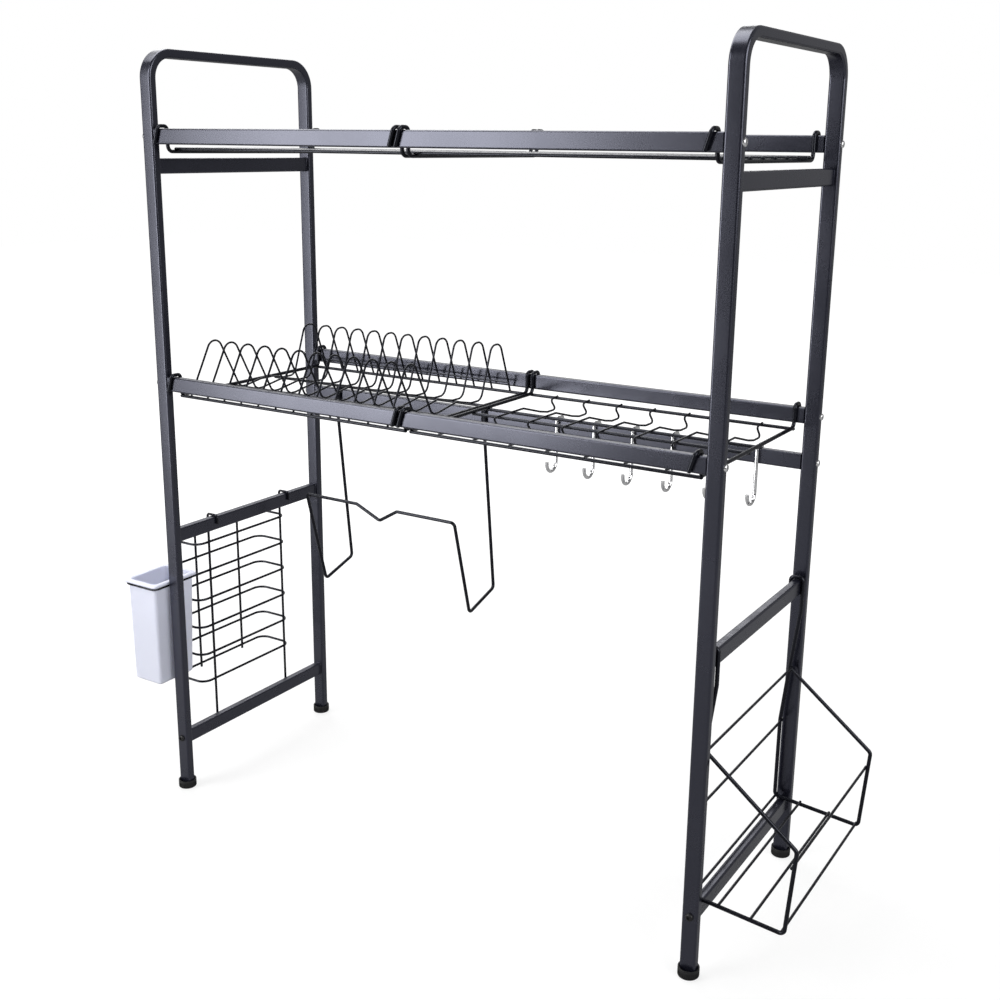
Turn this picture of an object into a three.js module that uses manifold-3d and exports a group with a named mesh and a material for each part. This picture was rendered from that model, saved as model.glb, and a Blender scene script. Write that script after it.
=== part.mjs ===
// A dish rack that stands over a sink: two tube hoops joined by rails, with hook-on shelves, a plate
// rack, a bowl rack, a cutting board holder, a cutlery basket with a cup, a side basket and hooks.
// Millimetres. Places are worked out from the left hoop's outer face (x), the hoops' front faces (y)
// and the surface that the feet stand on (z). The finished group is moved at the end so that its
// origin is the middle of its footprint on that surface.
import * as THREE from "three";
import { mergeVertices } from "three/addons/utils/BufferGeometryUtils.js";
import Module from "manifold-3d";

const wasm = await Module();
wasm.setup();

// Frame
const RACK_WIDE = 660;
const RACK_DEEP = 253;
const RACK_TALL = 833;
const TUBE_WIDE = 15.6;
const TUBE_THIN = 9.4;
const TUBE_FILLET = 2.8;
const HOOP_BEND = 26;
const BAR_TALL = 16;
const BAR_THIN = 8.8;
const BAR_FILLET = 2.6;
const BAR_INSET = 0.8;
const GAP = 0.3;

// Heights, each measured from the piece below it
const LOW_BAR_RISE = 63;
const MID_BAR_RISE = 247;
const HOOK_RAIL_RISE = 128;
const LOWER_RAIL_RISE = 47;

// Drops from the rack's top to the upper rails, and from those to the upper crossbars
const UPPER_RAIL_DROP = 88;
const UPPER_BAR_DROP = 30;

// Feet and fasteners
const FOOT_TALL = 9;
const FOOT_FLOOR = 3.6;
const FOOT_WALL = 1.4;
const FOOT_PLAY = 0.45;
const FOOT_CHAMFER = 1.2;
const SCREW_WIDE = 7;
const SCREW_TALL = 1.8;
const BOLT_WIDE = 7.6;
const BOLT_TALL = 2.2;
const RECESS_DEEP = 0.9;
const RECESS_WIDE = 2.6;

// Wires and how deep a weld sinks one into the other
const ROD = 3.4;
const CROSS_ROD = 3;
const THIN_WIRE = 2;
const WELD = 0.6;

// The four hook-on racks
const RACK_END_GAP = 8.9;
const CENTRE_GAP = 7;
const HOOK_LEG = 13.6;
const CORNER_BEND = 6;
const END_ROD_INSET = 1.4;
const SHELF_DROP = 15;
const SHELF_RODS = 8;
const SHELF_ROD_MARGIN = 11.5;
const RACK_DROP = 12.4;
const PLATE_WIRES = 12;
const PLATE_MARGIN = 21.5;
const PLATE_FAR_MARGIN = 14.3;
const PLATE_RISE = 57;
const PLATE_BEND = 10;
const PLATE_BRACE_RISE = 10;
const BOWL_WIRES = 7;
const BOWL_MARGIN = 32.5;
const BOWL_DIP = 12.5;
const BOWL_BEND = 2.5;

// Cutting board holder
const BOARD_WIRE = 3.4;
const BOARD_MARGIN = 38;
const BOARD_WIDE = 217;
const BOARD_BACK_LEAN = 22;
const BOARD_BACK_DROP = 214;
const BOARD_FLOOR_DEEP = 52;
const BOARD_FLOOR_DROP = 16;
const BOARD_FRONT_LEAN = 32;
const BOARD_FRONT_RISE = 118;
const BOARD_NOTCH = 15;
const BOARD_BEND = 5;
const BOARD_STRAIGHT = 15;

// Hooks
const HOOK_COUNT = 6;
const HOOK_WIRE = 4;
const HOOK_MARGIN = 45;
const HOOK_PITCH = 46.7;
const HOOK_DROP = 48;
const HOOK_JAW = 20;
const HOOK_TIP = 12;

// Cutlery basket and cup
const CUTLERY_WIRE = 2.2;
const CUTLERY_STANDOFF = 1.5;
const CUTLERY_WIDE = 47.3;
const CUTLERY_DEEP = 152;
const CUTLERY_SETBACK = 50;
const CUTLERY_HANG = 26;
const CUTLERY_LOOPS = 6;
const CUTLERY_LOOP_PITCH = 34.6;
const CUTLERY_CORNER = 12;
const CUTLERY_TAIL = 6;
const CUTLERY_NEAR_TAIL = 45;
const CUTLERY_LIP = 10;
const CUTLERY_HOOK_BEND = 3;
const CUP_LOOP = 1;
const CUP_LOOP_REACH = 68;
const CUP_CORNER = 14;
const CUP_PLAY = 0.6;
const CUP_DEEP = 56;
const CUP_TALL = 119;
const CUP_TAPER = 1.2;
const CUP_LIP = 3.4;
const CUP_LIP_TALL = 3.6;
const CUP_WALL = 1.6;
const CUP_FLOOR = 2;

// Side basket
const SIDE_WIRE = 3.2;
const SIDE_LONG_WIRE = 2.5;
const SIDE_END_GAP = 7.6;
const SIDE_STRAIGHT = 16;
const SIDE_SHOULDER_DROP = 64;
const SIDE_SHOULDER_LEAN = 7.5;
const SIDE_KNEE_DROP = 60;
const SIDE_KNEE_LEAN = 6;
const SIDE_FLOOR_WIDE = 90;
const SIDE_FLOOR_FALL = 8;
const SIDE_OUTER_RISE = 84;
const SIDE_OUTER_LEAN = 6;
const SIDE_BEND = 5;
const SIDE_CLEAR = 0.5;
const SIDE_BEAD = 4.4;

// Shares of a screw head's radius and height at the shoulder of its dome
const SCREW_DOME_SHARES = [0.86, 0.6];

// Shares along a plate wire: of the way from the rear rod to the front rod, then of the rise
const PLATE_WIRE_SHARES = [
  [0.0956, 1],
  [0.1736, 1],
  [0.264, 0],
  [0.348, 0],
  [0.471, 0.1],
  [0.625, 0],
  [0.67, 0],
  [0.803, 1],
  [0.863, 1],
];
const PLATE_ROD_SHARES = [0.339, 0.643];

// Shares along a bowl wire: of the way from the rear rod to the front rod, then of the dip below
const BOWL_WIRE_SHARES = [
  [0.062, 0],
  [0.01, 1],
  [0.09, 1],
  [0.16, 0.76],
  [0.315, 0],
  [0.576, 0],
  [0.524, 1],
  [0.61, 1],
  [0.68, 0.76],
  [0.83, 0.05],
];
const BOWL_ROD_SHARES = [0.392, 0.515];

// Shares of the board holder's width, the cutlery basket's depth and the side basket's floor
const BOARD_NOTCH_SHARES = [0.355, 0.511, 0.627];
const CUTLERY_NEAR_SHARES = [0.112, 0.921];
const CUTLERY_FAR_SHARES = [0.289, 0.763];
const SIDE_FLOOR_WIRE_SHARES = [0.31, 0.655];
const SIDE_OUTER_WIRE_SHARE = 0.8;

// Share of a stretch between two bends that each of them may take
const SHARED_STRETCH_SHARE = 0.5;

// Fineness of the round parts, and how near two points count as one
const MERGE_REACH = 0.0001;
const SHORTEST_STRETCH = 0.06;
const STEP_SLACK = 0.01;
const WIRE_SIDES = 6;
const THIN_WIRE_SIDES = 5;
const BEND_STEP = Math.PI / 4.5;
const TIGHT_BEND_STEP = Math.PI / 3;
const SHARPEST_PLAIN_TURN = Math.PI / 7;
const HOOP_BEND_STEP = Math.PI / 12;
const CORNER_STEPS = 2;
const ROUND_STEPS = 16;
const SCREW_STEPS = 8;

// Worked-out places
const LOW_BAR_Z = LOW_BAR_RISE;
const MID_BAR_Z = LOW_BAR_Z + MID_BAR_RISE;
const HOOK_RAIL_Z = MID_BAR_Z + HOOK_RAIL_RISE;
const LOWER_RAIL_Z = HOOK_RAIL_Z + LOWER_RAIL_RISE;
const UPPER_RAIL_Z = RACK_TALL - UPPER_RAIL_DROP;
const UPPER_BAR_Z = UPPER_RAIL_Z - UPPER_BAR_DROP;
const LEFT_X = TUBE_WIDE / 2;
const RIGHT_X = RACK_WIDE - TUBE_WIDE / 2;
const FRONT_LEG_Y = TUBE_THIN / 2;
const REAR_LEG_Y = RACK_DEEP - TUBE_THIN / 2;
const FRONT_RAIL_Y = BAR_INSET + BAR_THIN / 2;
const REAR_RAIL_Y = RACK_DEEP - BAR_INSET - BAR_THIN / 2;
const LEG_REACH =
  Math.hypot(TUBE_WIDE / 2 - TUBE_FILLET, TUBE_THIN / 2 - TUBE_FILLET) + TUBE_FILLET;

const finish = (color, roughness, metalness) =>
  new THREE.MeshStandardMaterial({ color, roughness, metalness });
const powderBlack = () => finish(0x2b2b2f, 0.45, 0.35);
const wireBlack = () => finish(0x161617, 0.4, 0.35);
const footBlack = () => finish(0x1b1b1d, 0.75, 0);
const brightSteel = () => finish(0xc9cacb, 0.22, 1);
const cupWhite = () => finish(0xe9ebf2, 0.4, 0);

const rack = new THREE.Group();
rack.name = "over_sink_dish_rack";

function add(name, geometry, material) {
  const mesh = new THREE.Mesh(geometry, material);
  mesh.name = name;
  rack.add(mesh);
  return mesh;
}

// Welds a geometry's vertices and drops the flat triangles at the poles of a revolve.
function welded(geometry) {
  const bare = geometry.clone();
  bare.deleteAttribute("normal");
  bare.deleteAttribute("uv");
  const merged = mergeVertices(bare, MERGE_REACH);
  const kept = [];
  const index = merged.index.array;
  for (let i = 0; i < index.length; i += 3) {
    const [a, b, c] = [index[i], index[i + 1], index[i + 2]];
    if (a !== b && b !== c && a !== c) kept.push(a, b, c);
  }
  merged.setIndex(kept);
  return merged;
}

function solid(geometry) {
  const merged = welded(geometry);
  return new wasm.Manifold(
    new wasm.Mesh({
      numProp: 3,
      vertProperties: new Float32Array(merged.attributes.position.array),
      triVerts: new Uint32Array(merged.index.array),
    }),
  );
}

// Joins overlapping pieces into one closed body.
function fused(pieces) {
  const joined = pieces.map(solid).reduce((all, next) => all.add(next));
  const mesh = joined.getMesh();
  const geometry = new THREE.BufferGeometry();
  geometry.setAttribute("position", new THREE.BufferAttribute(mesh.vertProperties, 3));
  geometry.setIndex(new THREE.BufferAttribute(mesh.triVerts, 1));
  return geometry;
}

// Rounded rectangle as a ring of points, counter-clockwise.
function roundedOutline(wide, deep, fillet, steps = CORNER_STEPS) {
  const points = [];
  const corners = [[1, 1], [-1, 1], [-1, -1], [1, -1]];
  corners.forEach(([sx, sy], quarter) => {
    for (let i = 0; i <= steps; i += 1) {
      const angle = (quarter + i / steps) * (Math.PI / 2);
      points.push(
        new THREE.Vector2(
          sx * (wide / 2 - fillet) + fillet * Math.cos(angle),
          sy * (deep / 2 - fillet) + fillet * Math.sin(angle),
        ),
      );
    }
  });
  return points;
}

function polygonOutline(wide, sides) {
  return Array.from({ length: sides }, (_, i) => {
    const angle = (i / sides) * Math.PI * 2;
    return new THREE.Vector2((wide / 2) * Math.cos(angle), (wide / 2) * Math.sin(angle));
  });
}

// The arc that rounds the corner at `here`; it may take up to `room` of the stretches beside it.
function roundedCorner(before, here, after, radius, room, step) {
  const back = before.clone().sub(here).normalize();
  const on = after.clone().sub(here).normalize();
  const turn = Math.PI - back.angleTo(on);
  if (turn < SHARPEST_PLAIN_TURN || radius === 0) return [here.clone()];
  const reach = Math.min(radius * Math.tan(turn / 2), room);
  const arcRadius = reach / Math.tan(turn / 2);
  const inward = back.clone().add(on).normalize();
  const middle = here.clone().addScaledVector(inward, arcRadius / Math.cos(turn / 2));
  const start = here.clone().addScaledVector(back, reach).sub(middle);
  const axis = back.clone().cross(on).normalize().negate();
  const steps = Math.max(1, Math.ceil(turn / step - STEP_SLACK));
  return Array.from({ length: steps + 1 }, (_, i) =>
    start.clone().applyAxisAngle(axis, (turn * i) / steps).add(middle),
  );
}

// A run of straight stretches with rounded corners. Each corner is [x, y, z], and may add a bend
// radius of its own in place of `radius`.
function bentRun(corners, radius, step = BEND_STEP) {
  const points = corners.map(([x, y, z]) => new THREE.Vector3(x, y, z));
  const last = points.length - 1;
  const run = [points[0]];
  for (let i = 1; i < last; i += 1) {
    const [before, here, after] = points.slice(i - 1, i + 2);
    const room = Math.min(
      here.distanceTo(before) * (i === 1 ? 1 : SHARED_STRETCH_SHARE),
      here.distanceTo(after) * (i === last - 1 ? 1 : SHARED_STRETCH_SHARE),
    );
    run.push(...roundedCorner(before, here, after, corners[i][3] ?? radius, room, step));
  }
  run.push(points[last]);
  return run.filter((point, i) => i === 0 || point.distanceTo(run[i - 1]) > SHORTEST_STRETCH);
}

// A curve through given points, stepped exactly from point to point.
class PointRun extends THREE.Curve {
  constructor(points) {
    super();
    this.points = points;
    this.last = points.length - 1;
  }

  getPoint(t, target = new THREE.Vector3()) {
    return target.copy(this.points[Math.round(t * this.last)]);
  }

  getPointAt(u, target) {
    return this.getPoint(u, target);
  }

  getTangentAt(u, target = new THREE.Vector3()) {
    const i = Math.round(u * this.last);
    const here = this.points[i];
    const before = this.points[Math.max(i - 1, 0)];
    const after = this.points[Math.min(i + 1, this.last)];
    const arriving = here.clone().sub(before).normalize();
    const leaving = after.clone().sub(here).normalize();
    return target.copy(arriving).add(leaving).normalize();
  }
}

function swept(points, outline) {
  return new THREE.ExtrudeGeometry(new THREE.Shape(outline), {
    steps: points.length - 1,
    extrudePath: new PointRun(points),
    bevelEnabled: false,
  });
}

// A wire of the given diameter; wires thinner than the cross rods get fewer sides and steps.
function wire(corners, wide, radius = 0) {
  const thin = wide < CROSS_ROD;
  const run = bentRun(corners, radius, thin ? TIGHT_BEND_STEP : BEND_STEP);
  return swept(run, polygonOutline(wide, thin ? THIN_WIRE_SIDES : WIRE_SIDES));
}

// Surface through rings of equal length; the ends are capped, or joined when `closed` is set.
function loft(rings, closed = false) {
  const count = rings[0].length;
  const positions = rings.flat().flatMap((point) => [point.x, point.y, point.z]);
  const faces = [];
  const joins = closed ? rings.length : rings.length - 1;
  for (let r = 0; r < joins; r += 1) {
    const low = r * count;
    const high = ((r + 1) % rings.length) * count;
    for (let i = 0; i < count; i += 1) {
      const j = (i + 1) % count;
      faces.push(low + i, low + j, high + j, low + i, high + j, high + i);
    }
  }
  if (!closed) {
    for (const [ring, flip] of [[0, true], [rings.length - 1, false]]) {
      const middle = positions.length / 3;
      const centre = rings[ring].reduce((sum, point) => sum.add(point), new THREE.Vector3());
      centre.divideScalar(count);
      positions.push(centre.x, centre.y, centre.z);
      for (let i = 0; i < count; i += 1) {
        const edge = [ring * count + i, ring * count + ((i + 1) % count)];
        faces.push(middle, ...(flip ? edge.reverse() : edge));
      }
    }
  }
  const geometry = new THREE.BufferGeometry();
  geometry.setAttribute("position", new THREE.Float32BufferAttribute(positions, 3));
  geometry.setIndex(faces);
  return geometry;
}

// A closed level loop of wire: a rounded rectangle between two x and two y places.
function wireLoop(x0, x1, y0, y1, z, wide, corner) {
  const middle = new THREE.Vector3((x0 + x1) / 2, (y0 + y1) / 2, z);
  const line = roundedOutline(x1 - x0, y1 - y0, corner).map((p) =>
    new THREE.Vector3(p.x, p.y, 0).add(middle),
  );
  const up = new THREE.Vector3(0, 0, 1);
  const rings = line.map((here, i) => {
    const before = line[(i + line.length - 1) % line.length];
    const after = line[(i + 1) % line.length];
    const arriving = here.clone().sub(before).normalize();
    const leaving = after.clone().sub(here).normalize();
    const side = up.clone().cross(arriving.add(leaving).normalize());
    return polygonOutline(wide, THIN_WIRE_SIDES).map((p) =>
      here.clone().addScaledVector(side, p.x).addScaledVector(up, p.y),
    );
  });
  return loft(rings, true);
}

// A hook over a bar, in the plane across the bar: the places of its near and far legs, the bend and
// height of its crown and the end of the leg that comes down by `leg` from the bar's top. `toward`
// is +1 or -1, from the near side to the far.
function hookCorners(barMiddle, barZ, toward, wide, leg) {
  const half = BAR_THIN / 2 + GAP + wide / 2;
  const top = barZ + BAR_TALL / 2;
  const crown = top - BAR_FILLET + half;
  return {
    near: barMiddle - toward * half,
    far: barMiddle + toward * half,
    bend: half,
    crown,
    end: top - leg,
  };
}

function buildHoop(name, x) {
  const corners = [
    [x, FRONT_LEG_Y, FOOT_FLOOR + GAP],
    [x, FRONT_LEG_Y, RACK_TALL - TUBE_THIN / 2],
    [x, REAR_LEG_Y, RACK_TALL - TUBE_THIN / 2],
    [x, REAR_LEG_Y, FOOT_FLOOR + GAP],
  ];
  const run = bentRun(corners, HOOP_BEND, HOOP_BEND_STEP);
  add(name, swept(run, roundedOutline(TUBE_WIDE, TUBE_THIN, TUBE_FILLET)), powderBlack());
}

function barGeometry(length, firstSide, secondSide) {
  const shape = new THREE.Shape(roundedOutline(firstSide, secondSide, BAR_FILLET));
  const geometry = new THREE.ExtrudeGeometry(shape, { depth: length, bevelEnabled: false });
  return geometry.translate(0, 0, -length / 2);
}

function buildRail(name, y, z) {
  const length = RACK_WIDE - 2 * TUBE_WIDE - 2 * GAP;
  const mesh = add(name, barGeometry(length, BAR_TALL, BAR_THIN).rotateY(Math.PI / 2), powderBlack());
  mesh.position.set(RACK_WIDE / 2, y, z);
}

function buildCrossbar(name, x, z) {
  const length = RACK_DEEP - 2 * TUBE_THIN - 2 * GAP;
  const mesh = add(name, barGeometry(length, BAR_THIN, BAR_TALL).rotateX(Math.PI / 2), powderBlack());
  mesh.position.set(x, RACK_DEEP / 2, z);
}

// A round cup that takes the end of a leg and turns on its screw.
function buildFoot(name, x, y) {
  const hole = LEG_REACH + FOOT_PLAY;
  const outer = hole + FOOT_WALL;
  const profile = [
    [0, 0],
    [outer - FOOT_CHAMFER, 0],
    [outer, FOOT_CHAMFER],
    [outer, FOOT_TALL],
    [hole, FOOT_TALL],
    [hole, FOOT_FLOOR],
    [0, FOOT_FLOOR],
  ].map(([r, z]) => new THREE.Vector2(r, z));
  const geometry = welded(new THREE.LatheGeometry(profile, ROUND_STEPS).rotateX(Math.PI / 2));
  add(name, geometry, footBlack()).position.set(x, y, 0);
}

// A domed head with a drive recess, revolved about its own y axis and seated on y = 0.
function headGeometry(wide, tall) {
  const radius = wide / 2;
  const profile = [
    [0, 0],
    [radius, 0],
    [radius * SCREW_DOME_SHARES[0], tall * SCREW_DOME_SHARES[1]],
    [RECESS_WIDE / 2, tall],
    [RECESS_WIDE / 2, tall - RECESS_DEEP],
    [0, tall - RECESS_DEEP],
  ].map(([r, y]) => new THREE.Vector2(r, y));
  return welded(new THREE.LatheGeometry(profile, SCREW_STEPS));
}

function buildScrew(name, side, y, z) {
  const mesh = add(name, headGeometry(SCREW_WIDE, SCREW_TALL), brightSteel());
  mesh.rotation.z = (-side * Math.PI) / 2;
  mesh.position.set(side < 0 ? -GAP : RACK_WIDE + GAP, y, z);
}

function buildBolt(name, side, x) {
  const mesh = add(name, headGeometry(BOLT_WIDE, BOLT_TALL), footBlack());
  mesh.rotation.x = side < 0 ? Math.PI : 0;
  mesh.position.set(x, side < 0 ? -GAP : RACK_DEEP + GAP, LOW_BAR_Z);
}

// Where a hook-on rack lies: its two side rods' x, their z and their hooks over the two rails.
function rackPlace(side, railZ, drop) {
  const outerX = TUBE_WIDE + RACK_END_GAP;
  const innerX = RACK_WIDE / 2 - CENTRE_GAP / 2;
  const front = hookCorners(FRONT_RAIL_Y, railZ, -1, ROD, HOOK_LEG);
  const rear = hookCorners(REAR_RAIL_Y, railZ, 1, ROD, HOOK_LEG);
  return {
    x0: side < 0 ? outerX : RACK_WIDE - innerX,
    x1: side < 0 ? innerX : RACK_WIDE - outerX,
    z: railZ - drop,
    front,
    rear,
  };
}

// A side rod: hooked over the front rail, down, back under the rack, up and over the rear rail.
function sideRod(x, place) {
  const { front, rear, z } = place;
  const corners = [
    [x, front.far, front.end],
    [x, front.far, front.crown, front.bend],
    [x, front.near, front.crown, front.bend],
    [x, front.near, z, CORNER_BEND],
    [x, rear.near, z, CORNER_BEND],
    [x, rear.near, rear.crown, rear.bend],
    [x, rear.far, rear.crown, rear.bend],
    [x, rear.far, rear.end],
  ];
  return wire(corners, ROD);
}

function crossRod(place, y, z) {
  return wire([[place.x0, y, z], [place.x1, y, z]], CROSS_ROD);
}

function buildShelf(name, side) {
  const place = rackPlace(side, UPPER_RAIL_Z, SHELF_DROP);
  const first = place.front.near + SHELF_ROD_MARGIN;
  const last = place.rear.near - SHELF_ROD_MARGIN;
  const rodZ = place.z + (ROD + CROSS_ROD) / 2 - WELD;
  const pieces = [sideRod(place.x0, place), sideRod(place.x1, place)];
  for (let i = 0; i < SHELF_RODS; i += 1) {
    pieces.push(crossRod(place, first + ((last - first) * i) / (SHELF_RODS - 1), rodZ));
  }
  add(name, fused(pieces), wireBlack());
}

// The lower racks' rods: two at the bends of the side rods, and others under them in between. Also
// gives the way from rear to front by share, and the heights at which thin wires lie on the rods.
function lowerRackBase(side, rodShares) {
  const place = rackPlace(side, LOWER_RAIL_Z, RACK_DROP);
  const offset = (ROD + CROSS_ROD) / 2 - WELD;
  const endZ =
    place.z + CORNER_BEND - Math.sqrt((CORNER_BEND + offset) ** 2 - (CORNER_BEND - END_ROD_INSET) ** 2);
  const midZ = place.z - offset;
  const rearY = place.rear.near - END_ROD_INSET;
  const frontY = place.front.near + END_ROD_INSET;
  const along = (share) => rearY + (frontY - rearY) * share;
  const lift = (CROSS_ROD + THIN_WIRE) / 2 - WELD;
  const pieces = [sideRod(place.x0, place), sideRod(place.x1, place)];
  pieces.push(crossRod(place, rearY, endZ), crossRod(place, frontY, endZ));
  for (const share of rodShares) pieces.push(crossRod(place, along(share), midZ));
  return { place, pieces, along, rearY, frontY, endZ: endZ + lift, baseZ: midZ + lift };
}

// Twelve alike wires, each with a tall arch behind and a narrower one in front, hold plates on edge.
function buildPlateRack() {
  const { place, pieces, along, rearY, frontY, endZ, baseZ } = lowerRackBase(-1, PLATE_ROD_SHARES);
  const profile = PLATE_WIRE_SHARES.map(([run, rise]) => [along(run), baseZ + rise * PLATE_RISE]);
  const firstX = place.x0 + PLATE_FAR_MARGIN;
  const lastX = place.x1 - PLATE_MARGIN;
  const pitch = (lastX - firstX) / (PLATE_WIRES - 1);
  for (let i = 0; i < PLATE_WIRES; i += 1) {
    const x = lastX - i * pitch;
    const corners = [[rearY, endZ], ...profile, [frontY, endZ]].map(([y, z]) => [x, y, z]);
    pieces.push(wire(corners, THIN_WIRE, PLATE_BEND));
  }
  const braceShare = PLATE_BRACE_RISE / (baseZ + PLATE_RISE - endZ);
  const braceY = rearY + (along(PLATE_WIRE_SHARES[0][0]) - rearY) * braceShare - THIN_WIRE + WELD;
  const braceZ = endZ + PLATE_BRACE_RISE;
  pieces.push(wire([[firstX - THIN_WIRE, braceY, braceZ], [lastX + THIN_WIRE, braceY, braceZ]], THIN_WIRE));
  add("plate_rack", fused(pieces), wireBlack());
}

// Seven alike wires dip below the rods in two troughs, each with an undercut rear edge, for bowls.
function buildBowlRack() {
  const { place, pieces, along, rearY, frontY, endZ, baseZ } = lowerRackBase(1, BOWL_ROD_SHARES);
  const profile = BOWL_WIRE_SHARES.map(([run, dip]) => [along(run), baseZ - dip * BOWL_DIP]);
  const firstX = place.x0 + BOWL_MARGIN;
  const lastX = place.x1 - BOWL_MARGIN;
  const pitch = (lastX - firstX) / (BOWL_WIRES - 1);
  for (let i = 0; i < BOWL_WIRES; i += 1) {
    const x = firstX + i * pitch;
    const corners = [[rearY + END_ROD_INSET, endZ], ...profile, [frontY, endZ]].map(([y, z]) => [x, y, z]);
    pieces.push(wire(corners, THIN_WIRE, BOWL_BEND));
  }
  add("bowl_rack", fused(pieces), wireBlack());
}

// One wire bent into a cradle: two hooks over the rear hook rail, two sides and a notched front bar.
function buildBoardHolder() {
  const hook = hookCorners(REAR_RAIL_Y, HOOK_RAIL_Z, 1, BOARD_WIRE, HOOK_LEG);
  const x0 = TUBE_WIDE + BOARD_MARGIN;
  const x1 = x0 + BOARD_WIDE;
  const straightEnd = HOOK_RAIL_Z - BAR_TALL / 2 - BOARD_STRAIGHT;
  const backY = hook.near + BOARD_BACK_LEAN;
  const backZ = HOOK_RAIL_Z - BOARD_BACK_DROP;
  const floorY = backY - BOARD_FLOOR_DEEP;
  const floorZ = backZ - BOARD_FLOOR_DROP;
  const frontY = floorY - BOARD_FRONT_LEAN;
  const frontZ = floorZ + BOARD_FRONT_RISE;
  const hookRun = (x) => [
    [x, hook.far, hook.end],
    [x, hook.far, hook.crown, hook.bend],
    [x, hook.near, hook.crown, hook.bend],
    [x, hook.near, straightEnd],
  ];
  const side = (x) => [
    ...hookRun(x),
    [x, backY, backZ],
    [x, floorY, floorZ],
    [x, frontY, frontZ],
  ];
  const [notchStart, notchLow, notchEnd] = BOARD_NOTCH_SHARES.map((share) => x0 + share * BOARD_WIDE);
  const frontBar = [
    [notchStart, frontY, frontZ],
    [notchLow, frontY, frontZ - BOARD_NOTCH],
    [notchEnd, frontY, frontZ],
  ];
  const beside = BOARD_WIRE - WELD;
  const pieces = [wire([...side(x0), ...frontBar, ...side(x1).reverse()], BOARD_WIRE, BOARD_BEND)];
  for (const x of [x0 + beside, x1 - beside]) pieces.push(wire(hookRun(x), BOARD_WIRE));
  add("board_holder", fused(pieces), wireBlack());
}

function buildHook(number) {
  const x = RACK_WIDE - TUBE_WIDE - HOOK_MARGIN - (HOOK_COUNT - number) * HOOK_PITCH;
  const hook = hookCorners(REAR_RAIL_Y, HOOK_RAIL_Z, 1, HOOK_WIRE, HOOK_LEG);
  const lowZ = HOOK_RAIL_Z - HOOK_DROP;
  const corners = [
    [x, hook.far, hook.end],
    [x, hook.far, hook.crown, hook.bend],
    [x, hook.near, hook.crown, hook.bend],
    [x, hook.near, lowZ, HOOK_JAW / 2],
    [x, hook.near - HOOK_JAW, lowZ, HOOK_JAW / 2],
    [x, hook.near - HOOK_JAW, lowZ + HOOK_TIP],
  ];
  add(`hook_${number}`, welded(wire(corners, HOOK_WIRE)), brightSteel());
}

// Where the cutlery basket's loops lie.
function cutleryPlace() {
  const sideStep = CUTLERY_WIRE - WELD;
  const nearPostX = -CUTLERY_STANDOFF;
  const nearX = nearPostX - sideStep;
  const farX = nearX - CUTLERY_WIDE;
  return {
    nearPostX,
    nearX,
    farX,
    farPostX: farX - sideStep,
    frontY: CUTLERY_SETBACK,
    rearY: CUTLERY_SETBACK + CUTLERY_DEEP,
    topZ: MID_BAR_Z - CUTLERY_HANG,
  };
}

function buildCutleryBasket() {
  const place = cutleryPlace();
  const bottomZ = place.topZ - (CUTLERY_LOOPS - 1) * CUTLERY_LOOP_PITCH;
  const pieces = [];
  for (let i = 0; i < CUTLERY_LOOPS; i += 1) {
    const frontY = place.frontY - (i === CUP_LOOP ? CUP_LOOP_REACH : 0);
    const z = place.topZ - i * CUTLERY_LOOP_PITCH;
    pieces.push(wireLoop(place.farX, place.nearX, frontY, place.rearY, z, CUTLERY_WIRE, CUTLERY_CORNER));
  }
  const crown = MID_BAR_Z + BAR_TALL / 2 + GAP + CUTLERY_WIRE / 2;
  const innerX = LEFT_X + BAR_THIN / 2 + GAP + CUTLERY_WIRE / 2;
  for (const share of CUTLERY_NEAR_SHARES) {
    const y = place.frontY + share * CUTLERY_DEEP;
    const corners = [
      [place.nearPostX, y, bottomZ - CUTLERY_NEAR_TAIL],
      [place.nearPostX, y, crown],
      [innerX, y, crown],
      [innerX, y, crown - CUTLERY_LIP],
    ];
    pieces.push(wire(corners, CUTLERY_WIRE, CUTLERY_HOOK_BEND));
  }
  const low = bottomZ - CUTLERY_TAIL;
  const high = place.topZ + CUTLERY_WIRE / 2;
  for (const share of CUTLERY_FAR_SHARES) {
    const y = place.frontY + share * CUTLERY_DEEP;
    pieces.push(wire([[place.farPostX, y, low], [place.farPostX, y, high]], CUTLERY_WIRE));
  }
  add("cutlery_basket", fused(pieces), wireBlack());
}

// An open cup with rounded corners; its lip rests on the basket loop that reaches forward.
function buildCup() {
  const place = cutleryPlace();
  const loopZ = place.topZ - CUP_LOOP * CUTLERY_LOOP_PITCH;
  const wide = CUTLERY_WIDE - CUTLERY_WIRE - 2 * CUP_PLAY;
  const frontY = place.frontY - CUP_LOOP_REACH + CUTLERY_WIRE / 2 + CUP_PLAY;
  const middle = new THREE.Vector3((place.nearX + place.farX) / 2, frontY + CUP_DEEP / 2, 0);
  const lipZ = loopZ + CUTLERY_WIRE / 2 + GAP;
  const topZ = lipZ + CUP_LIP_TALL;
  const lowZ = topZ - CUP_TALL;
  const ring = (grow, z) =>
    roundedOutline(wide + 2 * grow, CUP_DEEP + 2 * grow, CUP_CORNER + grow).map(
      (p) => new THREE.Vector3(p.x + middle.x, p.y + middle.y, z),
    );
  const rings = [
    ring(-CUP_TAPER - CUP_FLOOR, lowZ),
    ring(-CUP_TAPER, lowZ + CUP_FLOOR),
    ring(0, lipZ),
    ring(CUP_LIP, lipZ),
    ring(CUP_LIP, topZ - CUP_WALL),
    ring(CUP_LIP - CUP_WALL, topZ),
    ring(-CUP_WALL, topZ),
    ring(-CUP_TAPER - CUP_WALL, lowZ + CUP_FLOOR),
  ];
  add("utensil_cup", loft(rings), cupWhite());
}

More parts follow.
